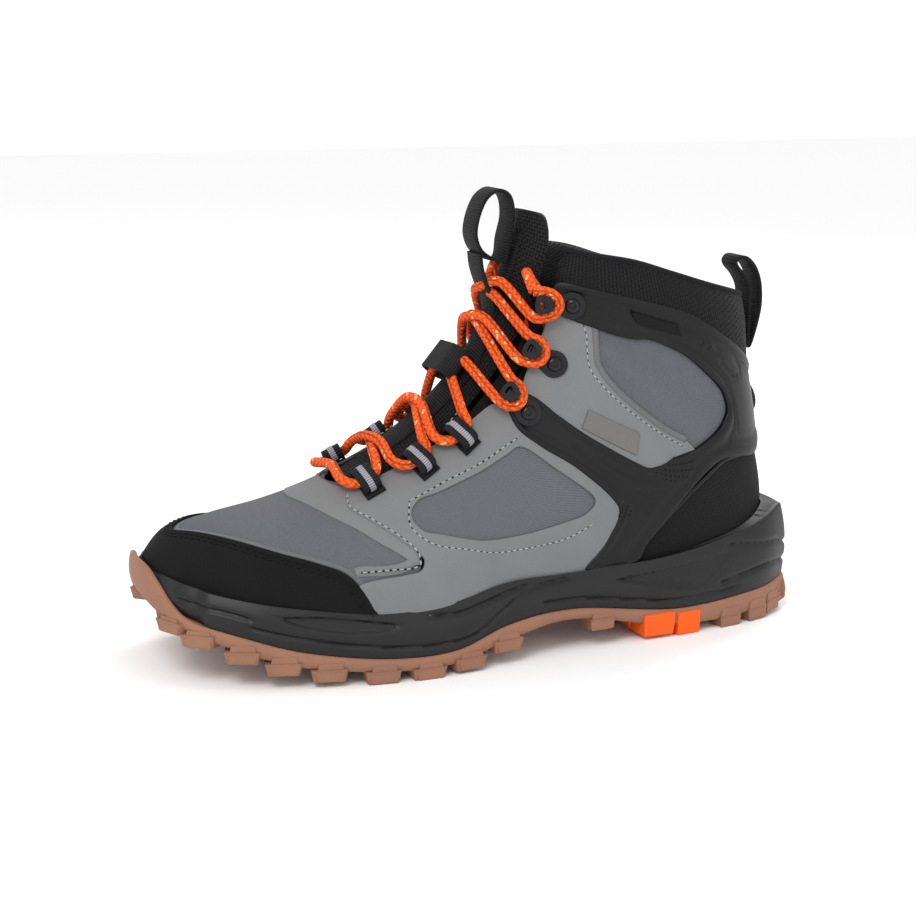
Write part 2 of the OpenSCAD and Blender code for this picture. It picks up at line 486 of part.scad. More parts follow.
// Middle of the strand between a crossing at height h and the eye at station s_eye
function strand(s, s_eye, side, h) =
    let (mid = (s + s_eye) / 2, q = side * 0.93) concat(raised(mid, q, (h + 6) / 2), outward(mid, q));
CROSSINGS = [5.95, 6.85, 7.75, 8.95, 10.1];
EYES = concat(LOOP_EYES, HOOK_EYES);
function lace_half(side) =
    [for (i = [0:5]) let (here = i % 2 == 0 ? side : -side,
        h = (i % 2 == 0) == (side == LATERAL) ? lace_low : lace_high) each concat(
        i < 3 ? loop_turn(EYES[i], here) : hook_turn(EYES[i], here),
        i < 5 ? [strand(CROSSINGS[i], EYES[i][0] + 0.25, here, h), crossing(CROSSINGS[i], h),
            strand(CROSSINGS[i], EYES[i + 1][0] - 0.25, -here, h)] : [])];
function reversed(list) = [for (i = [len(list) - 1:-1:0]) list[i]];

// Free ends of the lace, from the gap beside the tongue down inside the shaft
TAIL = [[26, 160], [30, 152], [33, 142], [35, 130], [36, 115], [36.5, 100], [37, 85]];
tail_y = 17;
aglet_d = 5.2;
aglet_l = 18;
function tail_point(k, side) = [TAIL[k][0], 5 + side * (tail_y - k * 0.8), TAIL[k][1]];
function tail(side) = concat([concat(raised(10.95, side * 0.86, 3.4), [0, 0, 1]),
    concat(raised(10.9, side * 0.822, 1), [1, 0, 0]), concat(raised(10.8, side * 0.818, -5), [1, 0, 0])],
    [for (k = [1:len(TAIL) - 1]) concat(tail_point(k, side), [1, 0, 0])]);

// Tube along rows of point and side direction
module tube(path, d, sides) {
    n = len(path);
    rings = [for (i = [0:n - 1])
        let (p = [for (k = [0:2]) path[i][k]], side = [for (k = [3:5]) path[i][k]],
            a = path[max(i - 1, 0)], b = path[min(i + 1, n - 1)], way = [for (k = [0:2]) b[k] - a[k]],
            f = way / norm(way), u = cross(f, side) / norm(cross(f, side)), v = cross(f, u))
        [for (j = [0:sides - 1]) p + d / 2 * (u * cos(360 * j / sides) + v * sin(360 * j / sides))]];
    loft(rings);
}
module lace() {
    bar = [concat(raised(5.2, -1, 4), outward(5.2, -1))];
    color("#f2742a") tube(concat(reversed(lace_half(MEDIAL)), bar, lace_half(LATERAL)), lace_d, 8);
}
module lace_tail(side) { color("#f2742a") tube(tail(side), lace_d, 8); }
module lace_tail_lateral() { lace_tail(LATERAL); }
module lace_tail_medial() { lace_tail(MEDIAL); }
module aglet(side) {
    p = tail_point(len(TAIL) - 1, side);
    color("#202020") translate([p[0], p[1], p[2] - aglet_l - 0.1]) cylinder(d = aglet_d, h = aglet_l, $fn = 32);
}
module aglet_lateral() { aglet(LATERAL); }
module aglet_medial() { aglet(MEDIAL); }

// ---- Pull loops: closed straps seen from the side as [x, z] centre lines ----
HEEL_LOOP = [[142.6, 130], [142.2, 148], [142, 158], [139, 164.5], [135, 169], [134.2, 171.6], [136.5, 173.6],
    [141, 172.5], [145.5, 167], [148, 158], [147.6, 146]];
TONGUE_LOOP = [[3.5, 180.5], [-0.5, 188], [0.5, 197], [4.5, 205.5], [10.5, 209], [16, 206], [17.6, 197],
    [15.4, 187], [13.2, 177]];
module strap_loop(path, wide) {
    n = len(path);
    closed = concat(path, [path[0]]);
    line = [for (t = [0:0.5:n - 0.5]) along(closed, t)];
    m = len(line);
    sides = [for (k = [-1, 1]) [for (i = [0:m - 1])
        let (d = line[(i + 1) % m] - line[(i + m - 1) % m]) line[i] + k * webbing_t / 2 * [d[1], -d[0]] / norm(d)]];
    translate([0, 5 + wide / 2, 0]) rotate([90, 0, 0]) linear_extrude(wide) difference() {
        polygon(sides[0]);
        polygon(sides[1]);
    }
}
module heel_loop() { color("#19191b") strap_loop(HEEL_LOOP, heel_loop_w); }
module tongue_loop() { color("#19191b") strap_loop(TONGUE_LOOP, tongue_loop_w); }

outsole();
heel_insert();
midsole();
shank();
insole_board();
insole();
toe_cap();
toe_puff();
vamp_textile();
mudguard_lateral();
mudguard_medial();
quarter_textile_lateral();
quarter_textile_medial();
ankle_panel_lateral();
ankle_panel_medial();
ankle_textile_lateral();
ankle_textile_medial();
ankle_frame_lateral();
ankle_frame_medial();
heel_textile();
heel_piping_lateral();
heel_piping_medial();
heel_counter();
heel_badge();
side_label_lateral();
side_label_medial();
band_label_lateral();
band_label_medial();
lining_vamp();
lining_quarters();
collar_pad();
tongue_lower();
tongue_upper();
gusset_lateral();
gusset_medial();
tongue_keeper();
lace_loops_lateral();
lace_loops_medial();
lace_hooks_lateral();
lace_hooks_medial();
hook_rivets_lateral();
hook_rivets_medial();
lace();
lace_tail_lateral();
lace_tail_medial();
aglet_lateral();
aglet_medial();
heel_loop();
tongue_loop();
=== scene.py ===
"""Left mid-height hiking boot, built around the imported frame. Tables and sizes here are in millimetres."""

import math

import bmesh
import bpy
import numpy as np
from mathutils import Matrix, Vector
from mathutils.geometry import delaunay_2d_cdt


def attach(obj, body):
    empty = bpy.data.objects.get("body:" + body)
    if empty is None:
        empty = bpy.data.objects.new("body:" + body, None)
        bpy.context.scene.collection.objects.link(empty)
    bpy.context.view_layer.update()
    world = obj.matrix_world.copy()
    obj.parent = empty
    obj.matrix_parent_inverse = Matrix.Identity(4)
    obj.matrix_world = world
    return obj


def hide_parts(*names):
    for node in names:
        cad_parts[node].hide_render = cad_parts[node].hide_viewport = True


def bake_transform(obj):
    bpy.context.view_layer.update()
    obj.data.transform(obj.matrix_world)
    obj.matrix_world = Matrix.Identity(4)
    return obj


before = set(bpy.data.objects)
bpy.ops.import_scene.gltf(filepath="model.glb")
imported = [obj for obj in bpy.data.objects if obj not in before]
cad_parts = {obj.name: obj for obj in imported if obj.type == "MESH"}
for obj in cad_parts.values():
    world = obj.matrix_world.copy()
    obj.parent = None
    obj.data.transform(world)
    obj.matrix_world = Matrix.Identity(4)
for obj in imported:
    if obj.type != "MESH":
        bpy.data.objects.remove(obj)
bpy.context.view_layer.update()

MM = 0.001
LATERAL, MEDIAL = -1, 1
SIDES = {"lateral": LATERAL, "medial": MEDIAL}

# ---- Camera, light and floor ----
CAMERA_AZIMUTH, CAMERA_ELEVATION = math.radians(-21), math.radians(12.5)
CAMERA_DISTANCE = 0.85
CAMERA_LENS = 73.5
CAMERA_TARGET = Vector((-0.015, -0.017, 0.09))


LIGHTS = {    # place and size in metres, power in watts
    "key": ((-0.75, -0.9, 1.25), 0.7, 11),
    "rim": ((0.9, 0.7, 1.0), 0.6, 6),
    "front": ((0.5, -1.3, 0.5), 0.8, 1.5),
}
LIT_PLACE = Vector((0, 0, 0.08))
FLOOR_HALF, FLOOR_COLOUR = 4, (0.95, 0.95, 0.95, 1)


def placed(name, data, place, way):
    """A camera or a light at a place, looking along a direction."""
    thing = bpy.data.objects.new(name, data)
    thing.location = place
    thing.rotation_mode = "QUATERNION"
    thing.rotation_quaternion = way.to_track_quat("-Z", "Y")
    bpy.context.scene.collection.objects.link(thing)
    return thing


def make_camera():
    data = bpy.data.cameras.new("camera")
    data.lens = CAMERA_LENS
    data.clip_start = 0.02
    flat = math.cos(CAMERA_ELEVATION)
    back = Vector((math.sin(CAMERA_AZIMUTH) * flat, -math.cos(CAMERA_AZIMUTH) * flat,
                   math.sin(CAMERA_ELEVATION)))
    bpy.context.scene.camera = placed("camera", data, CAMERA_TARGET + back * CAMERA_DISTANCE, -back)


def make_stage():
    world = bpy.data.worlds.new("studio")
    world.use_nodes = True
    background = world.node_tree.nodes["Background"]
    background.inputs["Color"].default_value = (1, 1, 1, 1)
    background.inputs["Strength"].default_value = 1.0
    bpy.context.scene.world = world
    bpy.context.scene.view_settings.view_transform = "Standard"
    for name, (place, size, power) in LIGHTS.items():
        data = bpy.data.lights.new(name, "AREA")
        data.shape = "DISK"
        data.size = size
        data.energy = power
        placed(name, data, place, LIT_PLACE - Vector(place))
    data = bpy.data.meshes.new("floor")
    corners = [(x * FLOOR_HALF, y * FLOOR_HALF, 0) for x, y in ((-1, -1), (1, -1), (1, 1), (-1, 1))]
    data.from_pydata(corners, [], [(0, 1, 2, 3)])
    material = bpy.data.materials.new("floor_white")
    material.use_nodes = True
    shader = material.node_tree.nodes["Principled BSDF"]
    shader.inputs["Base Color"].default_value = FLOOR_COLOUR
    shader.inputs["Roughness"].default_value = 0.9
    data.materials.append(material)
    floor = bpy.data.objects.new("floor", data)
    bpy.context.scene.collection.objects.link(floor)


# ---- The last: the foot form that every upper piece lies on, the same as for the imported CAD pieces ----
# Rows: sole point x z, instep point x z, centre y, lateral and medial half widths, height share of
# the widest point, width share at the sole, roundness of the crown.
STATIONS = np.array([
    [-152, 44, -152, 46, 15, 4, 4, 0.50, 0.30, 1.00],
    [-149, 41, -149, 52, 14, 19, 19, 0.10, 0.85, 1.00],
    [-140, 36, -140, 61, 12, 31, 31, 0.10, 0.90, 1.00],
    [-122, 28, -122, 67, 9, 42, 40, 0.12, 0.90, 0.95],
    [-97, 21, -97, 72, 7, 50, 45, 0.22, 0.88, 0.95],
    [-62, 17, -72, 81, 4, 54, 47, 0.26, 0.88, 1.00],
    [-30, 17, -48, 95, 2, 53, 45, 0.24, 0.87, 1.05],
    [0, 24, -24, 114, 2, 47, 40, 0.19, 0.86, 1.10],
    [35, 26, -6, 133, 3, 42, 37, 0.23, 0.82, 1.10],
    [88, 26, 4, 149, 4, 40, 38, 0.35, 0.76, 1.00],
    [134, 28, 10, 161, 5, 39, 39, 0.46, 0.55, 0.95],
    [151, 48, 14, 170, 5, 39, 39, 0.48, 0.00, 0.90],
    [146, 86, 17, 179, 5, 39, 39, 0.48, 0.00, 0.90],
    [139, 125, 20, 188, 5, 40, 40, 0.48, 0.00, 0.90],
    [136, 160, 22, 197, 5, 41, 41, 0.48, 0.00, 0.90],
    [134, 195, 24, 206, 5, 42, 42, 0.48, 0.00, 0.90],
], float)
# Rows: x, lateral y, medial y, top of the midsole, line between midsole and outsole, underside
SOLE = np.array([
    [-158, 8, 24, 47, 39, 34],
    [-154, -10, 38, 46, 35, 30],
    [-145, -26, 49, 44, 30, 25],
    [-122, -40, 54, 39, 23, 16],
    [-97, -48, 56, 35, 16, 9],
    [-62, -54, 54, 31, 11, 5],
    [-30, -54, 50, 33, 11, 5],
    [0, -49, 45, 38, 19, 12],
    [35, -42, 41, 37, 20, 15],
    [88, -38, 42, 39, 13, 5],
    [134, -30, 36, 47, 15, 5],
    [155, -18, 24, 53, 17, 9],
    [160, -9, 14, 53, 18, 12],
], float)


def along(table, t):
    """Smooth curve through the rows of a table, at parameters t from 0 to the last row."""
    table = np.asarray(table, float)
    t = np.clip(np.asarray(t, float), 0, len(table) - 1)
    i = np.minimum(t.astype(int), len(table) - 2)
    f = (t - i)[..., None]
    rows = np.vstack([2 * table[0] - table[1], table, 2 * table[-1] - table[-2]])
    a, b, c, d = (rows[i + k] for k in range(4))
    return 0.5 * (2 * b + (c - a) * f + (2 * a - 5 * b + 4 * c - d) * f**2 + (3 * b - a - 3 * c + d) * f**3)


def last(s, q):
    """Points of the last: station s, and q round the section from 0 at the sole or heel back line."""
    s, q = np.broadcast_arrays(np.asarray(s, float), np.asarray(q, float))
    p = (q + 1) % 2 - 1
    row = along(STATIONS, s)
    angle = math.pi * np.abs(p)
    low = angle < math.pi / 2    # below the widest point
    sine, cosine = np.clip(np.sin(angle), 0, 1), np.cos(angle)
    half = np.where(p < 0, row[..., 5], row[..., 6])
    sole = np.maximum(row[..., 8], 0)
    wide = row[..., 7]
    rise = np.where(low, wide * (1 - cosine), wide - (1 - wide) * cosine)
    width = np.where(low, half * (sole + (1 - sole) * sine), half * sine ** row[..., 9])
    x = row[..., 0] + (row[..., 2] - row[..., 0]) * rise
    z = row[..., 1] + (row[..., 3] - row[..., 1]) * rise
    return np.stack([x, row[..., 4] + np.where(p < 0, -1, 1) * width, z], -1)


def unit(v):
    return v / np.maximum(np.linalg.norm(v, axis=-1, keepdims=True), 1e-9)


def travelled(spots):
    """Length gone at each point of a line."""
    return np.concatenate([[0], np.cumsum(np.linalg.norm(np.diff(spots, axis=0), axis=1))])


def evenly(fine, spots, step, least=4, closed=False):
    """Rows of fine at even steps along the line of their spots."""
    gone = travelled(spots)
    wanted = np.linspace(0, gone[-1], max(round(gone[-1] / step), least) + 1)
    if closed:
        wanted = wanted[:-1]
    return np.column_stack([np.interp(wanted, gone, column) for column in fine.T])


def looped(table):
    """A table with rows repeated, so that a curve through it closes."""
    table = np.array(table, float)
    return np.vstack([table[-1:], table, table[:2]])


def outward(s, q):
    return unit(np.cross(last(s, q + 0.01) - last(s, q - 0.01), last(s + 0.02, q) - last(s - 0.02, q)))


def raised(s, q, height):
    return last(s, q) + np.asarray(height, float)[..., None] * outward(s, q)


def shifted(s, q, way):
    """Stations and q values after a move by the vectors way along the surface."""
    along_s = (last(s + 0.02, q) - last(s - 0.02, q)) / 0.04
    along_q = (last(s, q + 0.01) - last(s, q - 0.01)) / 0.02
    a, b, c = ((u * v).sum(-1) for u, v in ((along_s, along_s), (along_s, along_q), (along_q, along_q)))
    m, n = (along_s * way).sum(-1), (along_q * way).sum(-1)
    size = a * c - b * b
    return s + (c * m - b * n) / size, q + (a * n - b * m) / size


# Length along the boot and girth of half a section, for textures that keep their scale
FINE_S = np.linspace(0, len(STATIONS) - 1, 301)
LENGTH_AT = travelled(last(FINE_S, -0.6))
GIRTH_AT = np.array([travelled(last(s, np.linspace(-1, 0, 41)))[-1] for s in FINE_S])


def flat_place(s, q):
    """Places on the unrolled surface, in millimetres."""
    return np.stack([np.interp(s, FINE_S, LENGTH_AT), q * np.interp(s, FINE_S, GIRTH_AT)], -1)


def from_flat(place):
    s = np.interp(place[:, 0], LENGTH_AT, FINE_S)
    return s, place[:, 1] / np.interp(s, FINE_S, GIRTH_AT)


def route(points, closed=False, step=1.2):
    """Even steps along a smooth curve through (s, q) points."""
    n = len(points)
    table, ends = (looped(points), (1, n + 1)) if closed else (points, (0, n - 1))
    fine = along(table, np.linspace(*ends, 40 * n))
    return evenly(fine, last(*fine.T), step, 6, closed)


def traced(points, closed=False):
    """Places on the last along an (s, q) path."""
    return last(*route(points, closed, 1.5).T)


def mirrored(points):
    return [[s, -q] for s, q in points]


def over_instep(points):
    return points + [[s, -2 - q] for s, q in reversed(points[:-1])]


def round_heel(points):
    return points + [[s, -q] for s, q in reversed(points[:-1])]


def on_side(points, side):
    return points if side == LATERAL else mirrored(points)


def joined(a, b):
    return a + list(reversed(b))


def distance(places, line, closed=False):
    """Distance of each place to a polyline, in millimetres."""
    ends = np.vstack([line, line[:1]]) if closed else np.asarray(line)
    best = np.full(len(places), 1e9)
    for a, b in zip(ends[:-1], ends[1:]):
        d = b - a
        t = np.clip(((places - a) @ d) / max(d @ d, 1e-9), 0, 1)
        best = np.minimum(best, np.linalg.norm(places - a - t[:, None] * d, axis=1))
    return best


# ---- Meshes ----
def add_mesh(name, solid, material, body="boot", stands_for=(), slot=None, sharp=None):
    """A smooth mesh piece, riding on a body, from a solid: its points in millimetres, faces and uv."""
    points, faces, uv = solid
    finish = MATERIALS[material]
    data = bpy.data.meshes.new(name)
    data.from_pydata((np.asarray(points) * MM).tolist(), [], [list(map(int, f)) for f in faces])
    data.validate()
    corners = np.zeros(len(data.loops), int)
    data.loops.foreach_get("vertex_index", corners)
    data.uv_layers.new(name="grain").data.foreach_set("uv", np.asarray(uv, float)[corners].ravel())
    data.polygons.foreach_set("use_smooth", [True] * len(data.polygons))
    if sharp is not None:
        data.set_sharp_from_angle(angle=math.radians(sharp))
    mesh = bmesh.new()
    mesh.from_mesh(data)
    bmesh.ops.recalc_face_normals(mesh, faces=mesh.faces)
    mesh.to_mesh(data)
    mesh.free()
    piece = bpy.data.objects.new(name, data)
    data.materials.append(finish)
    bpy.context.scene.collection.objects.link(piece)
    if body:
        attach(piece, body)
    if stands_for:
        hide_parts(*stands_for)
    return piece


def merged(parts):
    """One list of points, faces and uv from several (points, faces, uv) parts."""
    points, faces, uvs, base = [], [], [], 0
    for p, f, u in parts:
        points.append(p)
        uvs.append(u)
        faces += [[i + base for i in face] for face in f]
        base += len(p)
    return np.vstack(points), faces, np.vstack(uvs)


def inside(places, ring):
    x, y = places.T
    found = np.zeros(len(places), bool)
    for (x1, y1), (x2, y2) in zip(ring, np.roll(ring, -1, axis=0)):
        if y1 != y2:
            found ^= ((y1 > y) != (y2 > y)) & (x < (x2 - x1) * (y - y1) / (y2 - y1) + x1)
    return found


def within(places, rings):
    """Whether places lie inside the first ring and outside the others, which are its holes."""
    return inside(places, rings[0]) & ~np.any([inside(places, ring) for ring in rings[1:]] or [False], axis=0)


def staggered(places, pitch, row):
    """Points over the box of some places, in rows that are moved half a pitch in turn."""
    low, high = places.min(0), places.max(0)
    u, v = np.meshgrid(np.arange(low[0], high[0], pitch), np.arange(low[1], high[1], row))
    u = u + (np.arange(len(u)) % 2)[:, None] * pitch / 2
    return np.column_stack([u.ravel(), v.ravel()])


def around(count):
    """Angles evenly round a circle."""
    return np.linspace(0, 2 * math.pi, count, endpoint=False)


def circle(up, ahead, count):
    """Unit vectors round the axis up, from ahead on."""
    turns = around(count)[:, None]
    return np.cos(turns) * ahead + np.sin(turns) * np.cross(up, ahead)


def wall(rows, corners, closed=False):
    """Faces between rings of points, with a face over each end or closed back on the first ring."""
    size = rows * corners
    faces = [[r * corners + i, r * corners + (i + 1) % corners,
              ((r + 1) * corners + (i + 1) % corners) % size, ((r + 1) * corners + i) % size]
             for r in range(rows if closed else rows - 1) for i in range(corners)]
    return faces if closed else faces + [list(range(corners))[::-1], list(range(size - corners, size))]


def stacked(rows):
    """A closed solid from rings of points, one over the other: points, faces and uv."""
    points = np.vstack(rows)
    return points, wall(len(rows), len(rows[0])), points[:, :2] * MM


def block(flat, middle, steps):
    """A solid from a plan outline that is scaled about its middle at each (size, height) step."""
    middle = np.asarray(middle, float)
    return stacked([np.column_stack([middle + (flat - middle) * size, np.full(len(flat), z)])
                    for size, z in steps])


EDGE_TURNS = (0.0, 0.13, 0.5, 1.0)    # steps inwards of a rounded edge, as shares of its radius


def panel(name, outline, low, high, material, *, holes=(), step=2.4, edge=0.5, crown=0.0, relief=None, **words):
    """A sheet of the upper: a closed outline of (s, q) points between two heights, with rounded edges."""
    points, faces, rims, lows, highs = [], [], [], [], []

    def add(s, q, height):
        start = sum(len(part[0]) for part in points)
        points.append((s, q, height + 0 * s))
        return np.arange(start, start + len(s))

    for index, ring in enumerate((outline, *holes)):
        s, q = route(ring, closed=True, step=min(step, 1.6)).T
        spot = last(s, q)
        tangent = unit(np.roll(spot, -1, axis=0) - np.roll(spot, 1, axis=0))
        area = (s * np.roll(q, -1) - np.roll(s, -1) * q).sum()
        sign = -np.sign(area) * (1 if index == 0 else -1)
        inwards = sign * np.cross(outward(s, q), tangent)
        rows = [add(s, q, low)]
        for turn in EDGE_TURNS:
            s2, q2 = shifted(s, q, inwards * edge * turn)
            rows.append(add(s2, q2, high - edge + edge * math.sqrt(1 - (1 - turn) ** 2)))
        for a, b in zip(rows[:-1], rows[1:]):
            faces += [[a[i], a[i - 1], b[i - 1], b[i]] for i in range(len(a))]
        lows.append(rows[0])
        highs.append(rows[-1])
        rims.append(flat_place(s2, q2))
    grid = staggered(np.vstack(rims), step, step * 0.87)
    grid = grid[within(grid, rims)]
    gap = np.min([distance(grid, rim, closed=True) for rim in rims], axis=0)
    clear = gap > 0.45 * step
    grid, gap = grid[clear], gap[clear]
    s, q = from_flat(grid)
    height = high + crown * (1 - np.exp(-gap / 7))
    if relief is not None:
        height = height + relief(last(s, q), gap, s, q)
    top_ids = np.concatenate(highs + [add(s, q, height)])
    bottom_ids = np.concatenate(lows + [add(s, q, low)])
    edges, start = [], 0
    for rim in rims:
        edges += [(start + i, start + (i + 1) % len(rim)) for i in range(len(rim))]
        start += len(rim)
    flat = [Vector(place) for place in np.vstack(rims + [grid])]
    places, _, triangles, origins = delaunay_2d_cdt(flat, edges, [], 0, 1e-7, True)[:4]
    middles = np.array([np.mean([places[i] for i in triangle], axis=0) for triangle in triangles])
    for keep, triangle in zip(within(middles, rims), triangles):
        if keep:
            a, b, c = (origins[i][0] if origins[i] else 0 for i in triangle)
            faces += [[top_ids[a], top_ids[c], top_ids[b]], [bottom_ids[a], bottom_ids[b], bottom_ids[c]]]
    s, q, height = (np.concatenate([part[k] for part in points]) for k in range(3))
    return add_mesh(name, (raised(s, q, height), faces, flat_place(s, q) * MM), material, **words)


def swept(line, sections, closed=False):
    """Points, faces and uv of a tube: sections is (points, corners, 3), and line its centre."""
    n, m = sections.shape[:2]
    middle = sections[n // 2]
    round_way = np.linalg.norm(np.roll(middle, -1, axis=0) - middle, axis=1)
    v = np.concatenate([[0], np.cumsum(round_way)[:-1]])
    uv = np.stack(np.broadcast_arrays(travelled(line)[:, None], v[None, :]), -1).reshape(-1, 2) * MM
    return sections.reshape(-1, 3), wall(n, m, closed), uv


def strip(name, path, section, material, *, height=0.0, **words):
    """A profile of (across, height) points swept along an (s, q) path on the upper."""
    s, q = route(path).T
    spot = last(s, q)
    across = np.cross(outward(s, q), unit(np.gradient(spot, axis=0)))
    rows = []
    for offset, up in section:
        s2, q2 = shifted(s, q, across * offset)
        rows.append(raised(s2, q2, height + up + 0 * s))
    return add_mesh(name, swept(spot, np.stack(rows, 1)), material, **words)


def flat_section(half, top, base):
    """A flat strip's profile, a little narrower at its top."""
    return [(-half, base), (0.2 - half, top), (half - 0.2, top), (half, base)]


def round_section(width, high, sides=10):
    """A half-round bead profile."""
    turns = np.linspace(0, math.pi, sides)
    arc = [(-width / 2 * math.cos(t), high * math.sin(t)) for t in turns]
    return [(-width / 2, -0.4), *arc, (width / 2, -0.4)]


def tube_frames(line):
    """Two unit vectors across a line at each point, turning as little as they can."""
    tangent = unit(np.gradient(line, axis=0))
    side = np.cross(tangent[0], (0, 0, 1) if abs(tangent[0][2]) < 0.9 else (1, 0, 0))
    first = []
    for t in tangent:
        side = side - (side @ t) * t
        side = side / np.linalg.norm(side)
        first.append(side)
    first = np.array(first)
    return first, np.cross(tangent, first)


def tube(line, radius, sides=16):
    """Points, faces and uv of a round tube along a line."""
    u, v = tube_frames(line)
    turns = around(sides)
    ring = np.cos(turns)[None, :, None] * u[:, None] + np.sin(turns)[None, :, None] * v[:, None]
    points, faces, uv = swept(line, line[:, None] + radius * ring)
    shares = np.broadcast_to(np.arange(sides) / sides, (len(line), sides)).reshape(-1)
    return points, faces, np.column_stack([uv[:, 0], shares])


def smooth_line(points, step=1.0):
    """Even steps along a smooth curve through 3-D points."""
    fine = along(points, np.linspace(0, len(points) - 1, 30 * len(points)))
    return evenly(fine, fine, step)


# ---- Stitches ----
THREADS = {"light": [], "dark": [], "hole": []}
STITCH_SHAPE = np.array([[-0.5, -0.28, 0.12], [-0.36, 0.12, 0.24], [0, 0.24, 0.28], [0.36, 0.12, 0.24],
                         [0.5, -0.28, 0.12]])    # place along the stitch, height, radius


# Size of the flat dark beads that paint the shade of needle holes between light stitches
HOLE_HALF, HOLE_RADIUS, HOLE_FLATNESS = 0.45, 0.42, 0.3


def thread_bead(fine, gone, where, heights, radii, flatness, thread):
    """One stitch or hole at the lengths where along a fine (s, q) path."""
    s, q = (np.interp(where, gone, column) for column in fine.T)
    line = raised(s, q, heights)
    up = outward(s, q)
    across = unit(np.cross(up, unit(np.gradient(line, axis=0))))
    turns = around(6)[None, :, None]
    ring = np.cos(turns) * across[:, None] + flatness * np.sin(turns) * up[:, None]
    THREADS[thread].append(swept(line, line[:, None] + radii[:, None, None] * ring))


def stitch(path, height, thread="dark", length=2.2, gap=1.0):
    """A row of stitches along an (s, q) path at a height over the last, with a dark bead between two light ones:
    painted shade standing for the needle hole.
    """
    fine = route(path, step=0.2)
    gone = travelled(last(*fine.T))
    count = int(gone[-1] / (length + gap))
    pitch = gone[-1] / count
    for centre in (np.arange(count) + 0.5) * pitch:
        thread_bead(fine, gone, centre + STITCH_SHAPE[:, 0] * length, height + STITCH_SHAPE[:, 1],
                    STITCH_SHAPE[:, 2], 1.0, thread)
    if thread == "light":
        for centre in (np.arange(count) + 1.0) * pitch:
            thread_bead(fine, gone, centre + HOLE_HALF * np.array([-1, 1]), height + np.zeros(2),
                        np.full(2, HOLE_RADIUS), HOLE_FLATNESS, "hole")


def make_threads():
    # The hole beads take the dark thread finish as painted shade for the needle holes
    for kind, material in (("light", "thread_light"), ("dark", "thread_dark"), ("hole", "thread_dark")):
        add_mesh("stitching_" + kind, merged(THREADS[kind]), material)


# ---- Materials ----
# Finishes that belong to a material slot of another name
SLOT_OF = {"heel_mesh": "black_mesh", "band_label": "webbing", "grey_webbing": "webbing",
           "grey_film": "grey_overlay", "thread_light": "label", "thread_dark": "webbing"}


class Shader:
    """Small helper for building a material's nodes: a principled shader with colour and bump."""

    def __init__(self, name, roughness, metallic=0.0, coat=0.0, specular=0.2):
        self.material = bpy.data.materials.new(name + "_finish")
        self.material["slot"] = SLOT_OF.get(name, name)
        self.material.use_nodes = True
        self.tree = self.material.node_tree
        self.shader = self.tree.nodes["Principled BSDF"]
        self.shader.inputs["Roughness"].default_value = roughness
        self.shader.inputs["Metallic"].default_value = metallic
        self.shader.inputs["Coat Weight"].default_value = coat
        self.shader.inputs["Specular IOR Level"].default_value = specular
        self.place = self.tree.nodes.new("ShaderNodeTexCoord")

    def link(self, a, b):
        self.tree.links.new(a, b)
        return b

    def math(self, operation, a, b=0.0, c=0.0):
        node = self.tree.nodes.new("ShaderNodeMath")
        node.operation = operation
        for socket, value in zip(node.inputs, (a, b, c)):
            if isinstance(value, (int, float)):
                socket.default_value = value
            else:
                self.link(value, socket)
        return node.outputs[0]

    def noise(self, scale, detail):
        node = self.tree.nodes.new("ShaderNodeTexNoise")
        node.inputs["Scale"].default_value = scale
        node.inputs["Detail"].default_value = detail
        self.link(self.place.outputs["Object"], node.inputs["Vector"])
        return node.outputs["Fac"]

    def uv(self, pitch_u, pitch_v):
        """The two texture coordinates counted in pitches, in metres."""
        split = self.tree.nodes.new("ShaderNodeSeparateXYZ")
        self.link(self.place.outputs["UV"], split.inputs[0])
        pitches = (("X", pitch_u), ("Y", pitch_v))
        return [self.math("DIVIDE", split.outputs[axis], pitch) for axis, pitch in pitches]

    def checks(self, a, b):
        total = self.math("ADD", self.math("FLOOR", a), self.math("FLOOR", b))
        return self.math("ABSOLUTE", self.math("MODULO", total, 2.0))

    def humps(self, a):
        return self.math("ABSOLUTE", self.math("SINE", self.math("MULTIPLY", a, math.pi)))

    def mixed(self, share, a, b):
        """Number that goes from a to b with the share."""
        return self.math("ADD", self.math("MULTIPLY", self.math("SUBTRACT", b, a), share), a)

    def colours(self, share, *stops):
        node = self.tree.nodes.new("ShaderNodeValToRGB")
        ramp = node.color_ramp
        while len(ramp.elements) < len(stops):
            ramp.elements.new(0.5)
        for element, (place, colour) in zip(ramp.elements, stops):
            element.position = place
            element.color = linear(colour)
        self.link(share, node.inputs["Fac"])
        self.link(node.outputs["Color"], self.shader.inputs["Base Color"])

    def bump(self, height, depth, under=None):
        node = self.tree.nodes.new("ShaderNodeBump")
        node.inputs["Distance"].default_value = depth * MM
        self.link(height, node.inputs["Height"])
        if under is not None:
            self.link(under, node.inputs["Normal"])
        self.link(node.outputs["Normal"], self.shader.inputs["Normal"])
        return node.outputs["Normal"]


def linear(colour):
    shares = [c / 255 for c in colour]
    return [c / 12.92 if c <= 0.04045 else ((c + 0.055) / 1.055) ** 2.4 for c in shares] + [1]


def shade(colour, share):
    return tuple(c * share for c in colour)


def grained(name, colour, roughness, grain=0.8, depth=0.12, variation=0.12, **finish):
    """Leather, rubber or moulded plastic: an even colour with a fine pebbled grain."""
    s = Shader(name, roughness, **finish)
    fine = s.noise(1 / (grain * MM), 4)
    broad = s.noise(60, 2)
    s.colours(s.math("ADD", s.math("MULTIPLY", fine, 0.6), s.math("MULTIPLY", broad, 0.4)),
              (0.25, shade(colour, 1 - variation)), (0.75, shade(colour, 1 + variation)))
    s.bump(fine, depth)
    return s.material


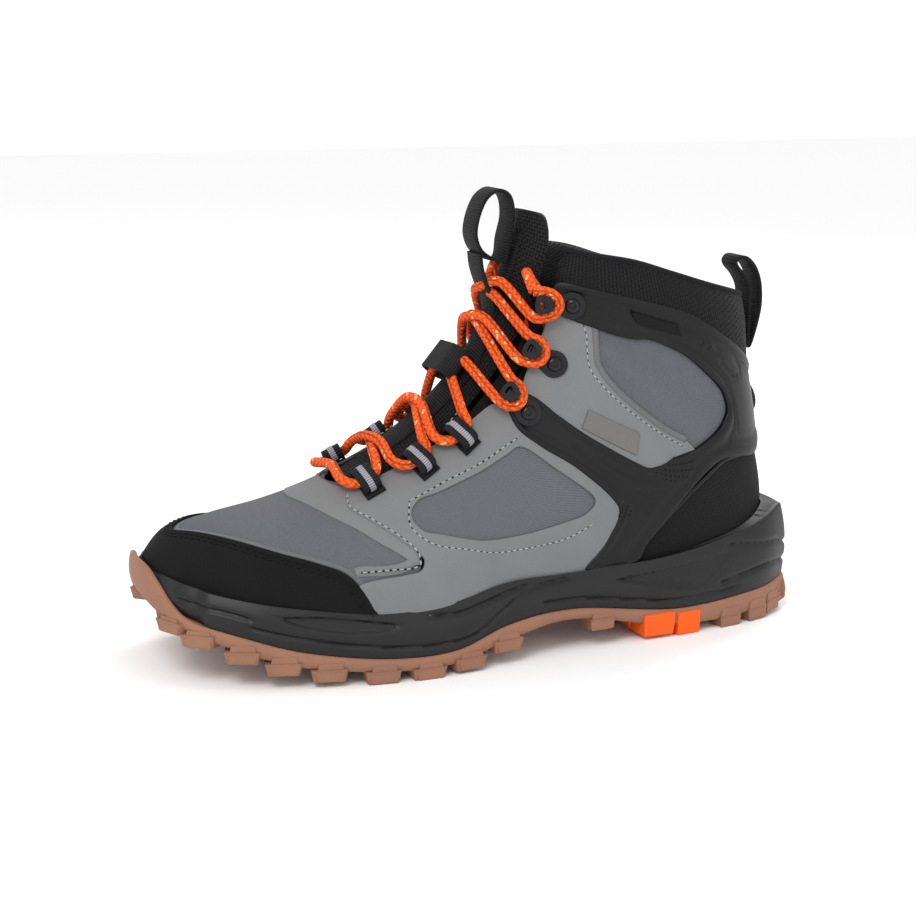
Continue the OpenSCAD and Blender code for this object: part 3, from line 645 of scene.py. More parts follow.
def woven(name, colour, pitch, depth, roughness=0.75, contrast=0.45, ripple=0.0, **finish):
    """Cloth of over and under threads; ripple adds broad uneven ribs across it. Its colour follows the thread
    height with fibre noise: painted shade where the threads dip and a painted highlight on their tops.
    """
    s = Shader(name, roughness, **finish)
    a, b = s.uv(pitch * MM, pitch * MM)
    height = s.mixed(s.checks(a, b), s.humps(a), s.humps(b))
    fibre = s.noise(2500, 2)
    total = s.math("ADD", s.math("MULTIPLY", height, 0.75), s.math("MULTIPLY", fibre, 0.35))
    # Painted shade in the thread dips, painted highlight on the thread tops
    s.colours(total, (0.1, shade(colour, 1 - contrast)), (0.85, shade(colour, 1 + contrast * 0.55)))
    normal = s.bump(height, depth)
    if ripple:
        s.bump(s.noise(700, 3), ripple, under=normal)
    return s.material


def ribbed(name, colour, pitch, depth, roughness=0.7, contrast=0.35):
    """Webbing with ribs across its length, lighter on the rib tops and darker between them: painted highlight and
    painted shade.
    """
    s = Shader(name, roughness)
    a, b = s.uv(pitch * MM, pitch * 0.6 * MM)
    height = s.math("ADD", s.math("MULTIPLY", s.humps(a), 0.8), s.math("MULTIPLY", s.humps(b), 0.2))
    fibre = s.noise(3000, 2)
    # Painted shade between the ribs and painted highlight on their tops, mixed with fibre noise
    s.colours(s.math("MULTIPLY", height, s.math("ADD", fibre, 0.5)),
              (0.1, shade(colour, 1 - contrast)), (0.9, shade(colour, 1 + contrast)))
    s.bump(height, depth)
    return s.material


def honeycombed(name, colour, pitch, depth):
    """Spacer mesh: rounded threads, with painted shade darkening the low cells between them and a painted
    highlight on their tops.
    """
    s = Shader(name, 0.75)
    a, b = s.uv(pitch * MM, pitch * 0.8 * MM)
    moved = s.math("ADD", a, s.math("MULTIPLY", s.math("FLOOR", b), 0.5))
    cell = s.math("MULTIPLY", s.humps(moved), s.humps(b))
    fibre = s.noise(2500, 2)
    # Painted shade in the low cells, painted highlight on the raised thread tops
    s.colours(s.math("ADD", cell, s.math("MULTIPLY", fibre, 0.3)),
              (0.15, shade(colour, 0.45)), (0.5, colour), (1.0, shade(colour, 1.35)))
    s.bump(cell, depth)
    return s.material


def braided(name, colour, fleck):
    """Round cord of diagonal strands with some paler flecks; v runs once round it. The darker strand edges are
    painted shade and the slightly lighter strand tops a painted highlight; the paler flecks are the cord's own
    colour.
    """
    s = Shader(name, 0.7)
    u, v = s.uv(3.4 * MM, 0.25)
    a, b = s.math("ADD", u, v), s.math("SUBTRACT", u, v)
    height = s.mixed(s.checks(a, b), s.humps(a), s.humps(b))
    cell = s.tree.nodes.new("ShaderNodeTexWhiteNoise")
    cell.noise_dimensions = "2D"
    pair = s.tree.nodes.new("ShaderNodeCombineXYZ")
    s.link(s.math("FLOOR", a), pair.inputs["X"])
    s.link(s.math("FLOOR", b), pair.inputs["Y"])
    s.link(pair.outputs[0], cell.inputs["Vector"])
    pale = s.math("GREATER_THAN", cell.outputs["Value"], 0.9)
    plain = s.math("MULTIPLY", height, 0.7)
    # Strand height gives painted shade and highlight; the pale cells are real paler flecks
    s.colours(s.math("ADD", plain, s.math("MULTIPLY", pale, 0.3)),
              (0.1, shade(colour, 0.78)), (0.55, colour), (0.72, shade(colour, 1.04)), (0.9, fleck))
    s.bump(s.math("ADD", height, s.math("MULTIPLY", s.noise(2500, 2), 0.4)), 0.5)
    return s.material


MATERIALS = {finish.name.removesuffix("_finish"): finish for finish in (
    grained("gum_rubber", (142, 102, 82), 0.62, 0.5, 0.05, 0.08),
    grained("orange_rubber", (240, 92, 22), 0.5, 0.5, 0.04, 0.05),
    grained("midsole_foam", (19, 18, 20), 0.45, 0.45, 0.05, 0.08, specular=0.35),
    grained("shank_plastic", (60, 60, 62), 0.4, 0.4, 0.03),
    grained("board", (58, 57, 58), 0.85, 0.7, 0.08),
    woven("insole_foam", (38, 38, 42), 1.0, 0.15),
    grained("black_nubuck", (17, 17, 18), 0.85, 0.5, 0.10, 0.2, specular=0.15),
    grained("stiffener", (190, 172, 140), 0.8, 0.6, 0.06),
    woven("grey_textile", (87, 88, 93), 0.62, 0.16, 0.7, 0.5, 0.12),
    grained("grey_overlay", (113, 114, 115), 0.72, 0.55, 0.05, 0.05),
    grained("grey_film", (98, 99, 101), 0.5, 0.6, 0.03, 0.04),
    grained("frame_plastic", (13, 12, 14), 0.4, 0.4, 0.04, 0.08, specular=0.25),
    woven("black_mesh", (20, 20, 21), 1.7, 0.75, 0.7, 0.9),
    honeycombed("heel_mesh", (20, 19, 20), 1.35, 0.4),
    woven("lining_mesh", (22, 22, 25), 0.8, 0.12, 0.9, 0.3),
    ribbed("webbing", (20, 20, 22), 1.3, 0.45),
    grained("label", (104, 102, 100), 0.45, 0.5, 0.04, 0.06),
    woven("band_label", (10, 10, 11), 0.4, 0.06, 0.6, 0.3),
    ribbed("grey_webbing", (118, 116, 122), 1.1, 0.25),
    grained("gunmetal", (34, 34, 37), 0.3, 0.4, 0.02, 0.06, metallic=0.6, coat=0.2),
    braided("lace_cord", (240, 92, 30), (255, 168, 120)),
    grained("aglet_film", (18, 18, 20), 0.25, 0.5, 0.02, coat=0.3),
    grained("thread_light", (160, 162, 164), 0.7, 0.3, 0.05),
    grained("thread_dark", (12, 12, 13), 0.7, 0.3, 0.05),
)}


# ---- Sole ----
def q_at_height(s, z):
    row = along(STATIONS, s)
    rise = np.clip((z - row[..., 1]) / (row[..., 3] - row[..., 1]), 0, 0.97)
    wide = row[..., 7]
    low = np.arccos(np.clip(1 - rise / wide, -1, 1)) / math.pi
    high = 0.5 + np.arcsin(np.clip((rise - wide) / (1 - wide), -1, 1)) / math.pi
    return np.where(rise < wide, low, high)


def sole_columns(step=1.5):
    """Even columns round the sole, from the lateral heel over the toe to the medial heel."""
    rows = [[r[0], r[1], *r[3:], k] for k, r in reversed(list(enumerate(SOLE)))]
    rows += [[r[0], r[2], *r[3:], k] for k, r in enumerate(SOLE)]
    fine = along(looped(rows), np.linspace(1, len(rows) + 1, 3000))
    columns = evenly(fine, fine[:, :2], step, closed=True)
    gone = np.arange(len(columns)) * travelled(fine[:, :2])[-1] / len(columns)
    return np.column_stack([columns, gone])


COLUMNS = sole_columns()
PLAN, TOP, MID, LOW = COLUMNS[:, :2], COLUMNS[:, 2], COLUMNS[:, 3], COLUMNS[:, 4]
AT = np.clip(COLUMNS[:, 5], 0, 12)
ROUND_SOLE = COLUMNS[:, 6]
AHEAD = unit(np.roll(PLAN, -1, axis=0) - np.roll(PLAN, 1, axis=0))
OUT = np.column_stack([-AHEAD[:, 1], AHEAD[:, 0]])
TOE_COLUMN = len(AT) // 2 - 12 + int(np.argmin(PLAN[len(AT) // 2 - 12:len(AT) // 2 + 12, 0]))
WRAP_END, WRAP_T = 2.3, 2.5    # last station of the toe bumper, and its thickness
LAST_MIDDLE = 5.0              # y of the last's centre line
FOOTBED_T = 1.9                # gap under the last, which the board fills
WRAP = 0.5 + 0.5 * np.cos(math.pi * np.clip(AT / WRAP_END, 0, 1))    # share of the toe bumper's full height


def column_at(s, side):
    """The column number, with a fraction, at a station on one side."""
    numbers = np.arange(len(AT))
    mine = numbers <= TOE_COLUMN if side == LATERAL else numbers >= TOE_COLUMN
    order = np.argsort(AT[mine])
    return np.interp(s, AT[mine][order], numbers[mine][order])


def at_column(values, number):
    number = np.asarray(number)
    low = np.floor(number).astype(int) % len(values)
    share = number - np.floor(number)
    if np.ndim(values) > 1:
        share = share[..., None]
    return values[low] * (1 - share) + values[(low + 1) % len(values)] * share


def last_outline():
    """Where the top edge of the sole meets the last: (s, q) round the boot."""
    s = np.concatenate([np.linspace(0.05, 10.9, 260), 10.9 + 0.25 * np.linspace(0, 1, 60) ** 0.5])
    top = along(SOLE, np.minimum(s, 12))[:, 3]
    q = q_at_height(s, top - 0.5)
    keep = along(STATIONS, s)[:, 1] < top - 0.5
    s, q = s[keep], q[keep]
    return np.vstack([np.column_stack([s, -q]), np.column_stack([s, q])])


def matched_outline():
    """The place on the last's outline that is nearest to each column, on the same side."""
    rim = last_outline()
    spots = last(*rim.T)[:, :2]
    side = np.where(PLAN[:, 1] < along(STATIONS, np.minimum(AT, 11))[:, 4], LATERAL, MEDIAL)
    best = []
    for place, here in zip(PLAN, side):
        far = 1e3 * (np.sign(rim[:, 1]) != here)
        best.append(rim[(np.linalg.norm(spots - place, axis=1) + far).argmin()])
    return np.array(best)


def smooth_wall(points, side):
    """(station, share of the wall's height) points as distance round the sole and height in mm, made smooth."""
    s, share = along(points, np.linspace(0, len(points) - 1, 10 * len(points))).T
    column = column_at(s, side)
    top, mid = at_column(TOP, column), at_column(MID, column)
    return np.column_stack([at_column(ROUND_SOLE, column), share * (top - mid)])


def groove(places, line, wide, deep, closed=False):
    return -deep * np.exp(-(distance(places, line, closed) / wide) ** 2)


def pocket(places, ring, deep, slope=1.4):
    found = inside(places, ring)
    return -deep * np.clip(distance(places, ring, closed=True) / slope, 0, 1) * found


LENS = [[3.5, 0.80], [4.06, 0.90], [4.55, 0.93], [5.16, 0.82], [5.04, 0.64], [4.42, 0.55], [3.82, 0.62]]
HEEL_LENS = [[8.3, 0.74], [8.62, 0.80], [9.2, 0.84], [9.66, 0.76], [9.5, 0.45], [9.2, 0.28], [8.75, 0.46]]
WALL_GROOVES = [
    [[1.7, 0.50], [2.3, 0.58], [2.7, 0.62], [3.1, 0.58]],
    [[3.1, 0.34], [4.4, 0.30], [5.6, 0.22], [6.4, 0.18], [6.8, 0.42], [7.3, 0.76], [7.9, 0.92]],
    [[5.6, 0.86], [6.2, 0.78], [6.8, 0.80], [7.3, 0.88]],
    [[7.5, 0.30], [8.2, 0.26], [8.9, 0.16], [9.7, 0.14]],
    [[9.6, 0.90], [10.1, 0.72], [10.6, 0.60], [11.2, 0.48], [12.0, 0.44]],
    [[9.5, 0.30], [10.2, 0.34], [11.0, 0.24], [12.0, 0.20]],
]


def wall_relief(places):
    """Height of the midsole's side wall over its plain surface, in millimetres."""
    total = np.zeros(len(places))
    ribs = 0.35 * np.sin((places[:, 0] * 0.9 + places[:, 1] * 1.4) * 1.9)
    for side in SIDES.values():
        total += pocket(places, smooth_wall(LENS + LENS[:1], side), 1.8)
        total += pocket(places, smooth_wall(HEEL_LENS + HEEL_LENS[:1], side), 1.4) * (1 + ribs)
        for line in WALL_GROOVES:
            total += groove(places, smooth_wall(line, side), 1.1, 1.4)
    return total


def closed_columns(name, rows, material, stands_for):
    """A solid round the sole from rows of points, the first and last of them on the centre line."""
    n = len(rows[0])
    lengths = np.concatenate([[0], np.cumsum([np.linalg.norm(b - a, axis=1).mean()
                                              for a, b in zip(rows[:-1], rows[1:])])])
    uv = np.concatenate([np.column_stack([ROUND_SOLE, np.full(n, v)]) for v in lengths]) * MM
    ends = 2    # the faces over the first and last rows, which have no area here
    solid = (np.concatenate(rows), wall(len(rows), n)[:-ends], uv)
    add_mesh(name, solid, material, stands_for=stands_for, sharp=50)


def flat_row(inset, z):
    spots = PLAN - OUT * np.broadcast_to(inset, len(PLAN))[:, None]
    return np.column_stack([spots, np.broadcast_to(z, len(PLAN))])


def spine_row(z):
    """A row of points on the centre line, where the rows of a sole close."""
    x = PLAN[:, 0] - OUT[:, 0] * 14
    return np.column_stack([x, np.full(len(PLAN), LAST_MIDDLE), np.broadcast_to(z, len(PLAN))])


def make_midsole():
    inset = 0.7 + (WRAP_T - 0.2) * np.clip((WRAP_END + 0.1 - AT) / 0.2, 0, 1)
    steps = np.linspace(0, 1, 25)
    places = np.concatenate([np.column_stack([ROUND_SOLE, (TOP - MID) * k]) for k in steps])
    relief = wall_relief(places).reshape(len(steps), -1)
    rim = matched_outline()
    meet = raised(rim[:, 0], rim[:, 1], np.full(len(rim), 0.9))
    rows = [spine_row(MID + 0.2), flat_row(12, MID + 0.2), flat_row(inset + 1.2, MID + 0.2)]
    for k, share in enumerate(steps):
        bulge = 1.3 * math.sin(math.pi * share) - 1.6 * share**3
        rows.append(flat_row(inset - bulge - relief[k], MID + 0.6 + (TOP - MID - 1.2) * share))
    outer = rows[-1]
    for share, drop in ((0.12, 0.0), (0.3, 0.15), (0.6, 0.3), (0.85, 0.3), (1.0, 0.2)):
        row = outer + (meet - outer) * share
        row[:, 2] = TOP + 0.2 - drop + (meet[:, 2] - TOP) * share * 0.5
        rows.append(row)
    under = np.minimum(rim[:, 0], 11)
    for k in (0.66, 0.33, 0.05):
        rows.append(raised(under, rim[:, 1] * k, np.full(len(rim), FOOTBED_T)))
    centre = along(STATIONS, under)
    rows.append(np.column_stack([centre[:, 0], centre[:, 4], centre[:, 1] - FOOTBED_T]))
    closed_columns("midsole_body", rows, "midsole_foam", ["midsole"])


def lug(number, shape, *, high=None, spread=0.7, reach=5.0):
    """A tread block from a plan outline of (along, inwards) points at a column."""
    centre, way, out, low = (at_column(v, number) for v in (PLAN, AHEAD, OUT, LOW))
    bottom = max(low - reach, 0)
    top = low + 1 if high is None else high
    shape = np.array(shape, float)
    spots = centre + shape[:, :1] * way - shape[:, 1:] * out
    steps = [(1 + spread / 8, top), (1.0, (top + bottom) / 2), (0.94, bottom + 0.5), (0.86, bottom)]
    return block(spots, spots.mean(0), steps)


EDGE_LUG = [[-7.5, -0.6], [7, -0.6], [8.5, 5], [4, 13], [-3.5, 14.5], [-8, 6]]
SIDE_RISER = [[-6.4, -0.9], [6, -0.9], [5.2, 2], [-5.8, 2]]
CHEVRON = [[-7, 0], [0, -8], [6, -8], [1.5, 0], [6, 8], [0, 8]]
HEEL_LUG = [[-5, -0.6], [4.5, -0.6], [6, 4], [4, 14], [-4.5, 15], [-5.5, 5]]
FORE_LUGS = [1.55, 2.25, 2.95, 3.65, 4.3, 4.95, 5.6, 6.25, 6.9]
HEEL_LUGS = [8.25, 9.62, 10.05, 10.5, 11.0, 11.6]
FORE_CHEVRONS = [2.2, 2.8, 3.4, 4.0, 4.55, 5.1, 5.7, 6.3, 6.9]
HEEL_CHEVRONS = [9.5, 9.95, 10.4]
INSERT_LUGS = [(8.80, 8.2), (9.12, 6.3)]    # station and half length
INSERT_BAND = (8.62, 9.27)


def make_outsole():
    rise = MID + (TOP + 2.5 - MID) * WRAP
    rows = [spine_row(MID), flat_row(9, MID), flat_row(WRAP_T, MID), flat_row(WRAP_T, rise - 0.5),
            flat_row(WRAP_T - 0.6, rise), flat_row(0.7, rise + 0.1), flat_row(0.15, rise - 0.4)]
    for share in np.linspace(0, 1, 8)[1:]:
        bulge = 0.5 * math.sin(math.pi * share)
        rows.append(flat_row(-bulge * (1 + WRAP), rise - 0.4 + (LOW + 1.2 - rise + 0.4) * share))
    rows += [flat_row(0.5, LOW + 0.4), flat_row(1.4, LOW), flat_row(9, LOW), spine_row(LOW)]
    closed_columns("outsole_shell", rows, "gum_rubber", ["outsole"])
    parts = []
    for side in SIDES.values():
        for s in FORE_LUGS + HEEL_LUGS:
            number = column_at(s, side)
            mid, low = at_column(MID, number), at_column(LOW, number)
            parts.append(lug(number, np.array(EDGE_LUG if s < 8 else HEEL_LUG) * [side, 1]))
            parts.append(lug(number, SIDE_RISER, high=low + (mid - low) * 0.55, spread=-1.5, reach=4.4))
    for s in FORE_CHEVRONS:
        row = along(SOLE, s)
        a, b = row[1] + 15, row[2] - 15
        for y in ((a * 2 + b) / 3, (a + 2 * b) / 3) if b - a > 44 else ((a + b) / 2,):
            parts.append(chevron(row[0], y, row[5], -1))
    for s in HEEL_CHEVRONS:
        row = along(SOLE, s)
        parts.append(chevron(row[0], (row[1] + row[2]) / 2, row[5], 1))
    add_mesh("outsole_lugs", merged(parts), "gum_rubber", sharp=30)


def chevron(x, y, low, way):
    bottom = max(low - 5, 0)
    shape = np.array(CHEVRON, float) * [-way, 1] + [x, y]
    return block(shape, [x, y], [(1.08, low + 1), (1.0, low - 2), (0.95, bottom + 0.5), (0.86, bottom)])


def make_heel_insert():
    """The orange block under the front of the heel: a band over both sides with two lugs each."""
    parts = []
    for side in SIDES.values():
        for s, half in INSERT_LUGS:
            number = column_at(s, side)
            shape = np.array([[-half, -1.3], [half, -1.3], [half, 14], [-half, 17]]) * [side, 1]
            parts.append(lug(number, shape, high=at_column(MID, number) - 1.4, spread=0))
    a, b = (along(SOLE, s) for s in INSERT_BAND)
    low, half = (a[5] + b[5]) / 2, 28
    ring = np.array([[a[0], -half], [b[0], -half], [b[0], half + 4], [a[0], half + 4]])
    parts.append(block(ring, ring.mean(0), [(1, low - 2.5), (1, low + 1)]))
    add_mesh("heel_insert_blocks", merged(parts), "orange_rubber", stands_for=["heel_insert"], sharp=30)


# ---- Upper ----
OVERLAY_T, FRAME_T = 1.2, 2.4
TEXTILE = -0.5    # height of the textiles, just under the overlays

TOE_EDGE = [[5.0, -0.30], [4.98, -0.46], [4.72, -0.60], [4.30, -0.665], [3.70, -0.73], [2.70, -0.85],
            [2.15, -0.93], [1.95, -1.0]]
TOE_FEATHER = [[4.6, -0.06], [3.6, -0.06], [2.6, -0.06], [1.8, -0.06], [1.0, -0.10], [0.5, -0.2],
               [0.2, -0.5], [0.12, -1.0]]
VAMP_EDGE = [[5.72, -0.57], [5.8, -0.64], [5.5, -0.70], [5.2, -0.80], [5.2, -0.90], [5.05, -0.96], [5.0, -1.0]]
FILM_INNER = [[5.8, -0.60], [5.36, -0.66], [5.0, -0.74], [4.68, -0.82], [4.4, -0.92], [4.28, -1.0]]
THROAT = [[5.42, -0.88], [5.22, -0.885], [5.02, -0.93], [4.96, -1.0]]
MUDGUARD = [[5.22, -0.885], [5.42, -0.87], [6.4, -0.835], [7.3, -0.805], [8.0, -0.785], [8.25, -0.73],
            [8.55, -0.625], [8.98, -0.50], [8.70, -0.41], [8.3, -0.27], [7.8, -0.10], [6.4, -0.08],
            [5.2, -0.10], [4.86, -0.33], [4.8, -0.54], [4.85, -0.58], [5.5, -0.578], [5.74, -0.578],
            [5.84, -0.60], [5.78, -0.62], [5.3, -0.735], [5.03, -0.81], [5.1, -0.86]]
VAMP_BORDER = [[5.70, -0.62], [5.66, -0.606], [5.5, -0.598], [5.2, -0.602], [4.9, -0.615], [4.78, -0.615]]
MUDGUARD_SEAMS = [
    [[5.12, -0.86], [5.06, -0.81], [5.3, -0.745], [5.72, -0.645], [5.78, -0.605], [5.68, -0.59], [5.3, -0.60],
     [4.86, -0.612]],
    [[8.5, -0.50], [8.1, -0.505], [7.55, -0.525], [6.95, -0.55], [6.5, -0.585], [6.1, -0.62], [5.86, -0.665],
     [5.82, -0.70], [5.95, -0.745]],
    [[5.95, -0.745], [6.5, -0.735], [7.2, -0.715], [7.75, -0.705], [8.05, -0.70]],
]
WINDOW = [[6.0, -0.73], [6.15, -0.735], [6.5, -0.72], [7.2, -0.70], [7.75, -0.69], [8.08, -0.68],
          [8.40, -0.61], [8.67, -0.535], [8.48, -0.52], [8.15, -0.53], [7.55, -0.55], [6.95, -0.575],
          [6.6, -0.60], [6.2, -0.64], [6.0, -0.66], [5.92, -0.68], [5.88, -0.70], [5.92, -0.72]]
WINDOW_CLOTH = [[5.8, -0.70], [6.0, -0.75], [6.6, -0.735], [7.3, -0.72], [7.95, -0.71], [8.34, -0.66],
                [8.7, -0.56], [8.62, -0.50], [8.2, -0.51], [7.75, -0.52], [7.2, -0.54], [6.6, -0.575],
                [6.1, -0.62], [5.84, -0.66]]
FRAME_OUTER = [[11.98, -0.785], [12.46, -0.70], [12.88, -0.58], [13.12, -0.46], [13.08, -0.34],
               [13.0, -0.2], [12.93, -0.06], [12.9, -0.015], [12.75, -0.015], [12.2, -0.015],
               [12.05, -0.015], [12.0, -0.06], [11.7, -0.18], [11.03, -0.36], [9.84, -0.395],
               [9.02, -0.335], [8.68, -0.25], [8.20, -0.30], [8.57, -0.41], [8.88, -0.49],
               [8.68, -0.585], [8.34, -0.66], [8.13, -0.72], [8.25, -0.775]]
FRAME_INNER = [[11.0, -0.785], [11.5, -0.67], [11.85, -0.60], [12.15, -0.55], [12.3, -0.47],
               [12.25, -0.40], [12.22, -0.375], [12.18, -0.355], [12.14, -0.345], [12.04, -0.335],
               [11.98, -0.332], [11.85, -0.335], [11.6, -0.36], [11.1, -0.41], [10.55, -0.445],
               [10.2, -0.465], [9.95, -0.475], [9.8, -0.485], [9.65, -0.50], [9.5, -0.53],
               [9.32, -0.57], [9.08, -0.625], [8.9, -0.675], [8.68, -0.74]]
ANKLE_OUTER = [[11.2, -0.79], [10.1, -0.785], [9.2, -0.78], [8.6, -0.755], [8.7, -0.68], [8.88, -0.615],
               [9.12, -0.55], [9.45, -0.495], [9.9, -0.445], [10.6, -0.42]]
ANKLE_EDGE = [[11.6, -0.70], [11.2, -0.685], [10.9, -0.68], [10.5, -0.665], [10.38, -0.64],
              [10.36, -0.60], [10.42, -0.56], [10.55, -0.51], [10.72, -0.46]]
ANKLE_CLOTH = [[10.3, -0.70], [11.0, -0.715], [11.6, -0.70], [11.98, -0.61], [12.32, -0.55],
               [12.42, -0.46], [12.32, -0.37], [12.0, -0.325], [11.2, -0.40], [10.6, -0.44],
               [10.3, -0.50], [10.2, -0.60]]
ANKLE_BORDER = [[11.45, -0.685], [10.9, -0.675], [10.48, -0.655], [10.36, -0.60], [10.5, -0.52],
                [10.72, -0.46]]
SIDE_PATCH = [[9.12, -0.63], [9.46, -0.64], [9.98, -0.545], [9.62, -0.53]]
BAND_PATCH = [[12.30, -0.59], [12.50, -0.605], [12.80, -0.485], [12.62, -0.475]]
BADGE = [(8, -0.6), (8, 0.7), (7.4, 1.2), (6.4, 1.2), (5.9, 0.8), (0.5, 0.8)]    # radius and height
HEEL_TOP = [[8.62, -0.25], [8.95, -0.36], [9.5, -0.41], [9.84, -0.42], [10.5, -0.42], [11.05, -0.39],
            [11.8, -0.24], [12.2, 0]]
HEEL_FEATHER = [[8.8, -0.08], [9.3, -0.08], [9.7, -0.07], [10.1, -0.06], [10.5, -0.05], [10.8, -0.04],
                [11.0, -0.02], [11.1, 0]]
PIPING = [[8.68, -0.28], [8.88, -0.335], [9.38, -0.375], [10.06, -0.39], [11.02, -0.355], [11.58, -0.24],
          [11.9, -0.10], [11.97, -0.02]]
LINING_TOP = [[5.1, -0.81], [6.4, -0.80], [8.4, -0.785], [10.2, -0.785], [11.9, -0.77], [12.5, -0.68],
              [12.88, -0.56], [13.0, -0.44], [12.95, -0.3], [12.9, 0]]
LINING_FEATHER = [[5.1, -0.12], [6.0, -0.12], [7.0, -0.12], [8.0, -0.12], [8.8, -0.12], [9.5, -0.12],
                  [10.1, -0.12], [10.6, -0.1], [11.0, -0.06], [11.15, 0]]
COLLAR_LOW = [[11.55, -0.80], [12.05, -0.70], [12.5, -0.58], [12.8, -0.46], [12.75, -0.34], [12.68, -0.2],
              [12.6, 0]]
COLLAR_TOP = [[13.3, -0.79], [13.45, -0.71], [13.72, -0.60], [13.8, -0.50], [13.85, -0.40],
              [13.93, -0.2], [13.95, 0]]


def inset_path(path, amount):
    """An (s, q) path moved sideways by an amount in millimetres."""
    s, q = np.array(path, float).T
    tangent = unit(np.gradient(last(s, q), axis=0))
    return [list(p) for p in np.column_stack(shifted(s, q, np.cross(outward(s, q), tangent) * amount))]


def make_toe():
    edge = over_instep(TOE_EDGE)
    line = traced(edge)

    def relief(places, gap, s, q):
        return -0.35 * np.exp(-((distance(places, line) - 3.2) / 1.6) ** 2)

    panel("toe_cap_leather", joined(edge, over_instep(TOE_FEATHER)), -0.2, OVERLAY_T + 0.35,
          "black_nubuck", step=2.2, edge=0.6, relief=relief, stands_for=["toe_cap"])
    for inset in (2.3, 4.3):
        stitch(inset_path(edge, inset), OVERLAY_T + 0.2)
    strip("toe_film_edge", inset_path(edge, -1.1), flat_section(1.4, 0.0, -0.6), "grey_film")


def make_vamp():
    cloth = joined(over_instep(VAMP_EDGE), over_instep([[s - 0.3, max(q * 1.01, -1)] for s, q in TOE_EDGE]))
    panel("vamp_cloth", cloth, TEXTILE - 1, TEXTILE, "grey_textile", edge=0.3, crown=0.5,
          stands_for=["vamp_textile"])
    film = joined(over_instep(THROAT), over_instep(FILM_INNER))
    panel("vamp_film", film, TEXTILE, 0.45, "grey_overlay", step=2, edge=0.35)
    for name, side in SIDES.items():
        strip("vamp_film_border_" + name, on_side(VAMP_BORDER, side), flat_section(2.4, 0.1, -0.6),
              "grey_overlay", height=0.25)


def overlay_seam(path):
    stitch(path, OVERLAY_T - 0.1, "light", length=1.9, gap=1.3)


def make_quarters(name, side):
    window = on_side(WINDOW, side)
    hole = traced(window, closed=True)

    def relief(places, gap, s, q):
        return -0.25 * np.exp(-((distance(places, hole, True) - 2.2) / 0.5) ** 2)

    panel("mudguard_film_" + name, on_side(MUDGUARD, side), -0.2, OVERLAY_T, "grey_overlay",
          holes=[window], step=2.2, relief=relief, stands_for=["mudguard_" + name])
    panel("quarter_cloth_" + name, on_side(WINDOW_CLOTH, side), TEXTILE - 1, TEXTILE + 0.4,
          "grey_textile", step=2.2, edge=0.3, crown=0.4, stands_for=["quarter_textile_" + name])
    for seam in MUDGUARD_SEAMS:
        overlay_seam(on_side(seam, side))


def make_ankle(name, side):
    panel("ankle_overlay_" + name, on_side(joined(ANKLE_OUTER, ANKLE_EDGE), side), -0.2, OVERLAY_T,
          "grey_overlay", step=2.2, stands_for=["ankle_panel_" + name])
    panel("ankle_cloth_" + name, on_side(ANKLE_CLOTH, side), TEXTILE - 1, TEXTILE + 0.4,
          "grey_textile", step=2.2, edge=0.3, crown=1.0, stands_for=["ankle_textile_" + name])
    strip("ankle_film_edge_" + name, on_side(ANKLE_BORDER, side), flat_section(1.6, 0.4, -0.4),
          "grey_film", height=OVERLAY_T - 0.3)
    overlay_seam(inset_path(on_side(ANKLE_EDGE, side), 3.2 * side))


FRAME_GROOVES = [
    [[12.24, -0.66], [12.45, -0.61], [12.66, -0.54], [12.84, -0.45]],
    [[12.0, -0.655], [12.2, -0.615]],
    [[12.76, -0.36], [12.84, -0.30], [12.70, -0.25], [12.52, -0.29], [12.58, -0.35]],
    [[9.06, -0.57], [9.3, -0.52], [9.55, -0.475], [9.86, -0.44]],
    [[9.0, -0.545], [9.2, -0.50], [9.62, -0.435]],
    [[9.2, -0.50], [9.4, -0.44]],
    [[8.78, -0.62], [9.0, -0.53], [9.28, -0.43]],
    [[8.96, -0.56], [9.18, -0.42]],
]
PERFORATED = [
    [[12.74, -0.44], [12.86, -0.37], [12.62, -0.37], [12.56, -0.42]],
    [[9.6, -0.50], [9.8, -0.48], [10.22, -0.475], [10.7, -0.455], [10.5, -0.42], [9.75, -0.435]],
    [[9.0, -0.50], [9.06, -0.46], [8.96, -0.44], [8.76, -0.44], [8.64, -0.42], [8.8, -0.47]],
]


def make_ankle_frame(name, side):
    grooves = [traced(on_side(line, side)) for line in FRAME_GROOVES]
    rings = [flat_place(*np.array(on_side(ring, side), float).T) for ring in PERFORATED]

    def relief(places, gap, s, q):
        total = 0.4 * np.exp(-((gap - 1.3) / 0.9) ** 2) - 0.55 * np.exp(-((gap - 3.2) / 0.7) ** 2)
        total = total - 0.35 * np.exp(-((gap - 5.2) / 0.7) ** 2)
        for line in grooves:
            total = total + groove(places, line, 0.8, 0.6)
        level = np.any([inside(flat_place(s, q), ring) for ring in rings], axis=0)
        return np.where(level, 0, np.maximum(total, -0.65))

    panel("ankle_frame_moulding_" + name, on_side(joined(FRAME_OUTER, FRAME_INNER), side), -0.2, FRAME_T - 0.4,
          "frame_plastic", step=1.1, edge=0.8, relief=relief, stands_for=["ankle_frame_" + name])
    # Perforations: dark discs that paint the shade inside the moulding's small holes
    parts = []
    for ring in rings:
        spots = staggered(ring, 2.3, 2.0)
        spots = spots[inside(spots, ring) & (distance(spots, ring, True) > 0.8)]
        parts += [small_disc(s, q, FRAME_T - 0.4, 0.62) for s, q in zip(*from_flat(spots))]
    add_mesh("frame_perforations_" + name, merged(parts), "thread_dark", slot="frame_plastic")


def small_disc(s, q, height, radius):
    """A dark disc standing for a small hole in a moulding: its dark colour is painted shade inside the hole."""
    centre, up, ahead = seat(s, q, height)
    ring = radius * circle(up, ahead, 10)
    return stacked([centre + ring - 0.3 * up, centre + ring * 0.9 + 0.06 * up])


